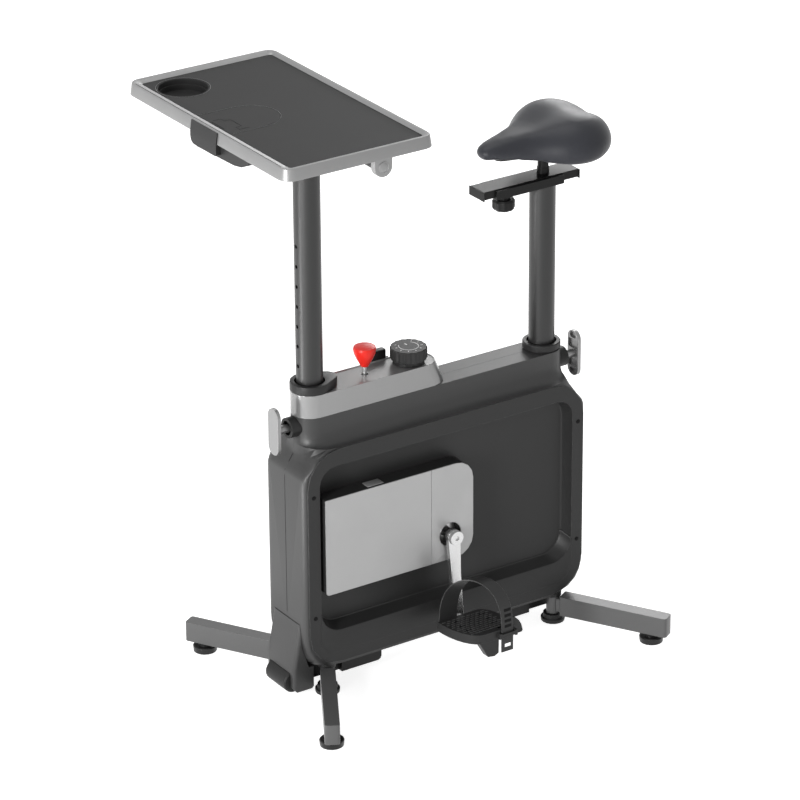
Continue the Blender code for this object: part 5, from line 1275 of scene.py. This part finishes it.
@dataclass
class DeskTrim:
    """Fine lines on the desk: the tray's front seam, painted highlights along the edges of flap and cup recess, and
    the latch.
    """

    height: float = 0.00015
    seam_inset: float = 0.0072
    seam_margin: float = 0.025
    seam_sink: float = 0.0002
    seam_width: float = 0.00072
    seam_height: float = 0.00045
    flap_centre: float = -0.375
    flap_radius: float = 0.055
    edge_offset: float = 0.0009
    flap_edge_width: float = 0.00063
    cup_edge_width: float = 0.00072
    bend_steps: int = 24
    ring_steps: int = 64
    latch_front: float = -0.4435
    latch_rear: float = -0.4225
    latch_low: float = -0.0475
    latch_high: float = 0.018
    latch_margin: float = 0.004
    latch_step: float = 0.012
    latch_catch: float = 0.016
    latch_tail: float = 0.020
    latch_width: float = 0.0009
    latch_bar_width: float = 0.00234

    def build(self) -> None:
        """Build the lines on the tray's front rim, on the inlay and on the flap."""
        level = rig.box("desk_inlay")[1].z + SURFACE_GAP
        make_piece("tray_seam", self.seam, SOCKET_DARK, Body.DESK)
        make_piece("inlay_edge_lines", lambda bm: self.edges(bm, level), EDGE_HIGHLIGHT, Body.DESK)
        make_piece("flap_latch_lines", lambda bm: self.latch(bm, level), SOCKET_DARK, Body.FLAP)

    def seam(self, bm: bmesh.types.BMesh) -> None:
        """Add the seam along the tray's front rim.

        Args:
            bm: the bmesh that takes it.
        """
        low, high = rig.box("desk_tray")
        x = low.x + self.seam_inset
        z = high.z - self.seam_sink
        reach = high.y - self.seam_margin
        add_ribbon(bm, [(x, -reach, z), (x, reach, z)], self.seam_width, UP, self.seam_height)

    def edges(self, bm: bmesh.types.BMesh, level: float) -> None:
        """Add the painted highlights along the edges round the flap and the cup recess.

        Args:
            bm: the bmesh that takes them.
            level: the height of the inlay's top.
        """
        radius = self.flap_radius + self.edge_offset
        bend = [math.pi / 2 - math.pi * i / self.bend_steps for i in range(self.bend_steps + 1)]
        outline = [(self.latch_front, radius, level)]
        outline += [(self.flap_centre + radius * math.cos(a), radius * math.sin(a), level) for a in bend]
        outline += [(self.latch_front, -radius, level)]
        add_ribbon(bm, outline, self.flap_edge_width, UP, self.height)
        low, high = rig.box("cup_holder")
        middle = (low + high) / 2
        rim = (high.y - low.y) / 2 + self.edge_offset
        turns = [math.tau * i / self.ring_steps for i in range(self.ring_steps + 1)]
        ring = [(middle.x + rim * math.cos(a), middle.y + rim * math.sin(a), level) for a in turns]
        add_ribbon(bm, ring, self.cup_edge_width, UP, self.height)

    def latch(self, bm: bmesh.types.BMesh, level: float) -> None:
        """Add the stepped line of the latch and the bar in front of it.

        Args:
            bm: the bmesh that takes them.
            level: the height of the inlay's top.
        """
        front, rear, low, high = self.latch_front, self.latch_rear, self.latch_low, self.latch_high
        margin, step = self.latch_margin, self.latch_step
        line = [(front + margin, high), (rear, high), (rear, high - step), (rear + step, high - step),
                (rear + step, low + self.latch_catch), (rear, low + self.latch_catch), (rear, low + margin),
                (rear + self.latch_tail, low + margin)]
        bar = [(front, low + self.latch_tail), (front, high - margin)]
        for path, width in ((line, self.latch_width), (bar, self.latch_bar_width)):
            add_ribbon(bm, [(x, y, level) for x, y in path], width, UP, self.height)


@dataclass
class PedalTread:
    """Rows of small raised grips on a pedal's top, each other row moved on by half a step.

    The rows start at the pedal's front edge, which sweeps back from its inner to its outer end.
    """

    rows: int = 11
    columns: int = 9
    grip_length: float = 0.0075
    grip_width: float = 0.0022
    grip_height: float = 0.0010
    grip_bevel: float = 0.0003
    side_margin: float = 0.008
    field_width: float = 0.074
    front_margin: float = 0.005
    rear: float = 0.046
    lead: float = 0.25
    stagger: float = 0.5
    span: float = 0.093
    front_outer: float = -0.012
    front_sweep: float = 0.045
    fin_rise: float = 0.031
    top_rise: float = 0.013

    def build(self, side: Side) -> bpy.types.Object:
        """Build one pedal's grips.

        Args:
            side: the bike's side.

        Returns:
            The grips as one object that rides on the pedal.
        """
        low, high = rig.box(f"pedal_{side.label}")
        inner = min(abs(low.y), abs(high.y)) + self.side_margin
        top = high.z - self.fin_rise + self.top_rise + SURFACE_GAP
        half = Vector((self.grip_length, self.grip_width, 0.0)) / 2
        rise = Vector((0.0, 0.0, self.grip_height))

        def grips(bm: bmesh.types.BMesh) -> None:
            """Add every grip, row by row.

            Args:
                bm: the bmesh that takes the grips.
            """
            for row in range(self.rows):
                across = self.field_width * (row + 0.5) / self.rows
                turn = math.asin(min(1.0, (across + self.side_margin) / self.span))
                front = self.front_outer - self.front_sweep * math.cos(turn) + self.front_margin
                first = self.lead + self.stagger * (row % 2)
                for column in range(self.columns):
                    x = front + (self.rear - front) * (column + first) / self.columns
                    centre = Vector((x, side.value * (inner + across), top))
                    add_block(bm, tuple(centre - half), tuple(centre + half + rise), self.grip_bevel)

        return make_piece(f"pedal_grips_{side.label}", grips, PEDAL_GRIP, side.pedal_body)


@dataclass
class SaddleSkin:
    """The padded saddle: the CAD cushion's form, filled out by pressure and skinned in vinyl."""

    weld: float = 0.00001
    voxel: float = 0.0045
    relax_factor: float = 0.5
    net_rounds: int = 8
    settle_rounds: int = 6
    even_rounds: int = 8
    pressure: float = 3.0
    stiffness: float = 25.0
    frames: int = 14
    cap: float = 0.004
    swell: float = 0.0034
    nose_swell: float = 0.0040
    nose_end: float = 0.165
    nose_length: float = 0.05
    nose_pull: float = 0.0055
    base_half_width: float = 0.056
    skirt_blend: float = 0.03
    skirt_drop: float = 0.0045

    def build(self) -> bpy.types.Object:
        """Build the cushion that stands for the CAD cushion.

        Returns:
            The cushion, which rides on the saddle.
        """
        source = bpy.data.objects["saddle_cushion"]
        mesh = source.data.copy()
        mesh.name = "saddle_pad"
        bm = bmesh.new()
        bm.from_mesh(mesh)
        bmesh.ops.remove_doubles(bm, verts=bm.verts, dist=self.weld)
        bm.to_mesh(mesh)
        bm.free()
        piece = bpy.data.objects.new("saddle_pad", mesh)
        bpy.context.scene.collection.objects.link(piece)
        self.remesh(piece)
        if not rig.quick():
            self.inflate(piece)
        self.refine(piece)
        self.fill_out(piece)
        mesh = piece.data
        bpy.data.objects.remove(piece, do_unlink=True)
        pad = add_piece("saddle_pad", mesh, SADDLE_SKIN, Body.SADDLE)
        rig.replaces(pad, "saddle_cushion")
        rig.padded(pad, fill=0.9)
        return pad

    def apply(self, piece: bpy.types.Object) -> None:
        """Turn a piece's modifiers into its mesh.

        Args:
            piece: the cushion.
        """
        graph = bpy.context.evaluated_depsgraph_get()
        mesh = bpy.data.meshes.new_from_object(piece.evaluated_get(graph), depsgraph=graph)
        piece.modifiers.clear()
        piece.data = mesh

    def relax(self, piece: bpy.types.Object, rounds: int) -> None:
        """Add a modifier that evens the net out.

        Args:
            piece: the cushion.
            rounds: how often each point moves towards its neighbours' middle.
        """
        modifier = piece.modifiers.new("relax", 'SMOOTH')
        modifier.factor = self.relax_factor
        modifier.iterations = rounds

    def remesh(self, piece: bpy.types.Object) -> None:
        """Cover the form with an even net of faces.

        Args:
            piece: the cushion.
        """
        modifier = piece.modifiers.new("net", 'REMESH')
        modifier.mode = 'VOXEL'
        modifier.voxel_size = self.voxel
        self.apply(piece)
        self.relax(piece, self.net_rounds)
        self.apply(piece)

    def inflate(self, piece: bpy.types.Object) -> None:
        """Let air pressure round the cushion out, no further than the cap.

        Args:
            piece: the cushion.
        """
        start = np.array([v.co for v in piece.data.vertices])
        cloth = piece.modifiers.new("pressure", 'CLOTH')
        settings = cloth.settings
        settings.use_pressure = True
        settings.uniform_pressure_force = self.pressure
        settings.effector_weights.gravity = 0.0
        settings.tension_stiffness = self.stiffness
        settings.compression_stiffness = self.stiffness
        scene = bpy.context.scene
        for step in range(1, self.frames + 1):
            scene.frame_set(step)
        self.apply(piece)
        moved = np.array([v.co for v in piece.data.vertices]) - start
        length = np.linalg.norm(moved, axis=1, keepdims=True)
        moved = moved * np.minimum(1.0, self.cap / np.maximum(length, LEAST_MOVE))
        piece.data.vertices.foreach_set("co", (start + moved).ravel())
        scene.frame_set(1)

    def refine(self, piece: bpy.types.Object) -> None:
        """Smooth the net and divide it once more.

        Args:
            piece: the cushion.
        """
        self.relax(piece, self.settle_rounds)
        divide = piece.modifiers.new("divide", 'SUBSURF')
        divide.levels = 1
        divide.render_levels = 1
        self.apply(piece)
        piece.data.shade_smooth()

    def fill_out(self, piece: bpy.types.Object) -> None:
        """Swell the padding, more at the nose, with its skirt lower than the base that it sits on.

        Args:
            piece: the cushion.
        """
        count = len(piece.data.vertices)
        places, normals = np.zeros(count * 3), np.zeros(count * 3)
        piece.data.vertices.foreach_get("co", places)
        piece.data.vertices.foreach_get("normal", normals)
        places, normals = places.reshape(-1, 3), normals.reshape(-1, 3)
        nose = np.clip((self.nose_end - places[:, 0]) / self.nose_length, 0.0, 1.0)
        skirt = np.clip((np.abs(places[:, 1]) - self.base_half_width) / self.skirt_blend, 0.0, 1.0)
        grown = places + normals * (self.swell + self.nose_swell * nose)[:, None]
        grown[:, 0] += self.nose_pull * nose
        under = np.clip(-normals[:, 2], 0.0, 1.0) * skirt
        grown[:, 2] -= self.skirt_drop * under
        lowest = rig.box("saddle_cushion")[0].z - self.skirt_drop * skirt
        grown[:, 2] = np.maximum(grown[:, 2], lowest)
        piece.data.vertices.foreach_set("co", grown.ravel())
        self.relax(piece, self.even_rounds)
        self.apply(piece)
        piece.data.shade_smooth()


@dataclass(frozen=True)
class Lamp:
    """A rectangular area lamp, aimed at the object's middle or straight up."""

    name: str
    place: Point
    power: float
    size: tuple[float, float]
    faces_up: bool = False


LAMPS = (
    Lamp("end_lamp", (-4.4, -1.8, 1.4), 215.0, (0.9, 2.5)),
    Lamp("top_lamp", (-0.5, 0.8, 5.0), 62.0, (3.0, 3.0)),
    Lamp("rim_lamp", (3.2, 3.2, 2.6), 60.0, (1.5, 2.5)),
    Lamp("low_strip", (-2.1, 0.2, 0.01), 32.0, (2.3, 0.3), faces_up=True),
)


@dataclass
class Studio:
    """A plain pale floor, soft lamps and a camera at the photograph's angle.

    The lamps are a tall one at the desk end, one above, a weak one behind, and a low strip that the camera
    doesn't see, which upright rounded surfaces mirror.
    """

    azimuth: float = -33.39
    elevation: float = 24.58
    distance: float = 7.955
    target: Point = (-0.0617, 0.0, 0.5313)
    focal: float = 192.8
    sensor: float = 36.0
    far_limit: float = 200.0
    roll: float = -0.38
    floor_size: float = 60.0
    floor_segments: int = 4
    floor_drop: float = 0.0002
    floor_tone: float = 0.82
    floor_roughness: float = 0.9
    floor_specular: float = 0.1
    floor_glow: float = 0.80
    ambient_low: float = 0.62
    ambient_high: float = 0.22

    def build(self) -> None:
        """Build the floor, the world, the lamps and the camera."""
        scene = bpy.context.scene
        scene.view_settings.view_transform = 'Standard'
        self.world(scene)
        self.floor()
        for lamp in LAMPS:
            self.light(lamp)
        self.camera(scene)

    def seen_directly(self, wiring: Wiring) -> bpy.types.NodeSocket:
        """Mask the rays that show the background: camera, glossy and transmission rays.

        Args:
            wiring: the material's or the world's wiring.

        Returns:
            The mask's socket.
        """
        path = wiring.add("LightPath")
        shown = wiring.sum("MAXIMUM", path.outputs["Is Camera Ray"], path.outputs["Is Glossy Ray"])
        return wiring.sum("MAXIMUM", shown, path.outputs["Is Transmission Ray"])

    def world(self, scene: bpy.types.Scene) -> None:
        """Light the object from all round, least from straight above, and show white behind it.

        Args:
            scene: the scene that gets the world.
        """
        world = bpy.data.worlds.new("studio")
        scene.world = world
        world.use_nodes = True
        wiring = Wiring(world.node_tree)
        background = world.node_tree.nodes["Background"]
        background.inputs["Color"].default_value = WHITE
        rise = wiring.add("SeparateXYZ", Vector=wiring.add("TexCoord").outputs["Generated"]).outputs["Z"]
        ambient = wiring.spread(rise, 0.0, 1.0, self.ambient_low, self.ambient_high)
        strength = wiring.sum("MAXIMUM", ambient, self.seen_directly(wiring))
        wiring.feed(background.inputs["Strength"], strength)

    def floor(self) -> None:
        """Make the floor, which shows near white and keeps the object's shadow."""
        count, half = self.floor_segments, self.floor_size / 2
        mesh = mesh_from("floor", lambda bm: bmesh.ops.create_grid(bm, x_segments=count, y_segments=count,
                                                                   size=half))
        floor = bpy.data.objects.new("floor", mesh)
        bpy.context.scene.collection.objects.link(floor)
        floor.location.z = -self.floor_drop
        material = bpy.data.materials.new("pale_floor")
        material.use_nodes = True
        wiring = Wiring(material.node_tree)
        shader = material.node_tree.nodes["Principled BSDF"]
        shader.inputs["Base Color"].default_value = (self.floor_tone, self.floor_tone, self.floor_tone, 1.0)
        shader.inputs["Roughness"].default_value = self.floor_roughness
        shader.inputs["Specular IOR Level"].default_value = self.floor_specular
        shader.inputs["Emission Color"].default_value = WHITE
        glow = wiring.sum("MULTIPLY", self.seen_directly(wiring), self.floor_glow)
        wiring.feed(shader.inputs["Emission Strength"], glow)
        mesh.materials.append(material)
        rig.stage(floor)

    def light(self, lamp: Lamp) -> None:
        """Place one lamp.

        Args:
            lamp: the lamp's place, power and size.
        """
        data = bpy.data.lights.new(lamp.name, 'AREA')
        data.shape = 'RECTANGLE'
        data.size, data.size_y = lamp.size
        data.energy = lamp.power
        placed = bpy.data.objects.new(lamp.name, data)
        bpy.context.scene.collection.objects.link(placed)
        placed.location = lamp.place
        if lamp.faces_up:
            placed.rotation_euler = (math.pi, 0.0, 0.0)
            placed.visible_camera = False
        else:
            aim = Vector(self.target) - Vector(lamp.place)
            placed.rotation_euler = aim.to_track_quat('-Z', 'Y').to_euler()

    def camera(self, scene: bpy.types.Scene) -> None:
        """Set the camera where the photograph was taken from.

        Args:
            scene: the scene that gets the camera.
        """
        azimuth, elevation = math.radians(self.azimuth), math.radians(self.elevation)
        back = Vector((math.sin(azimuth) * math.cos(elevation), -math.cos(azimuth) * math.cos(elevation),
                       math.sin(elevation)))
        data = bpy.data.cameras.new("camera")
        data.lens = self.focal
        data.sensor_width = self.sensor
        data.clip_end = self.far_limit
        camera = bpy.data.objects.new("camera", data)
        scene.collection.objects.link(camera)
        turn = back.to_track_quat('Z', 'Y').to_matrix().to_4x4()
        place = Matrix.Translation(Vector(self.target) + back * self.distance)
        camera.matrix_world = place @ turn @ Matrix.Rotation(math.radians(self.roll), 4, 'Z')
        scene.camera = camera


def clear_scene() -> None:
    """Remove what the new file holds, so that only this script's objects remain."""
    for obj in list(bpy.data.objects):
        bpy.data.objects.remove(obj, do_unlink=True)


def box_rows() -> list[list[float]]:
    """The whole object's lowest and highest corners as plain lists."""
    return [list(corner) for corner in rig.bounds()]


def main() -> None:
    """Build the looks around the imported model, in order, and write the sizes."""
    logging.basicConfig(level=logging.INFO, format="%(name)s: %(message)s")
    clear_scene()
    frame = Frame()
    packed_box = box_rows()
    frame.dress()
    SaddleSkin().build()
    HousingTrim().build()
    DialMarks().build()
    DeskTrim().build()
    for side in Side:
        RecessSill().build(side)
        LugDiscs().build(side)
        PedalTread().build(side)
        StrapLadder().build(side)
    for end in End:
        PartingLines().build(end)
    Studio().build()
    SIZE_FILE.write_text(json.dumps({"cad": packed_box, "visual": box_rows()}))


if __name__ == "__main__":
    main()
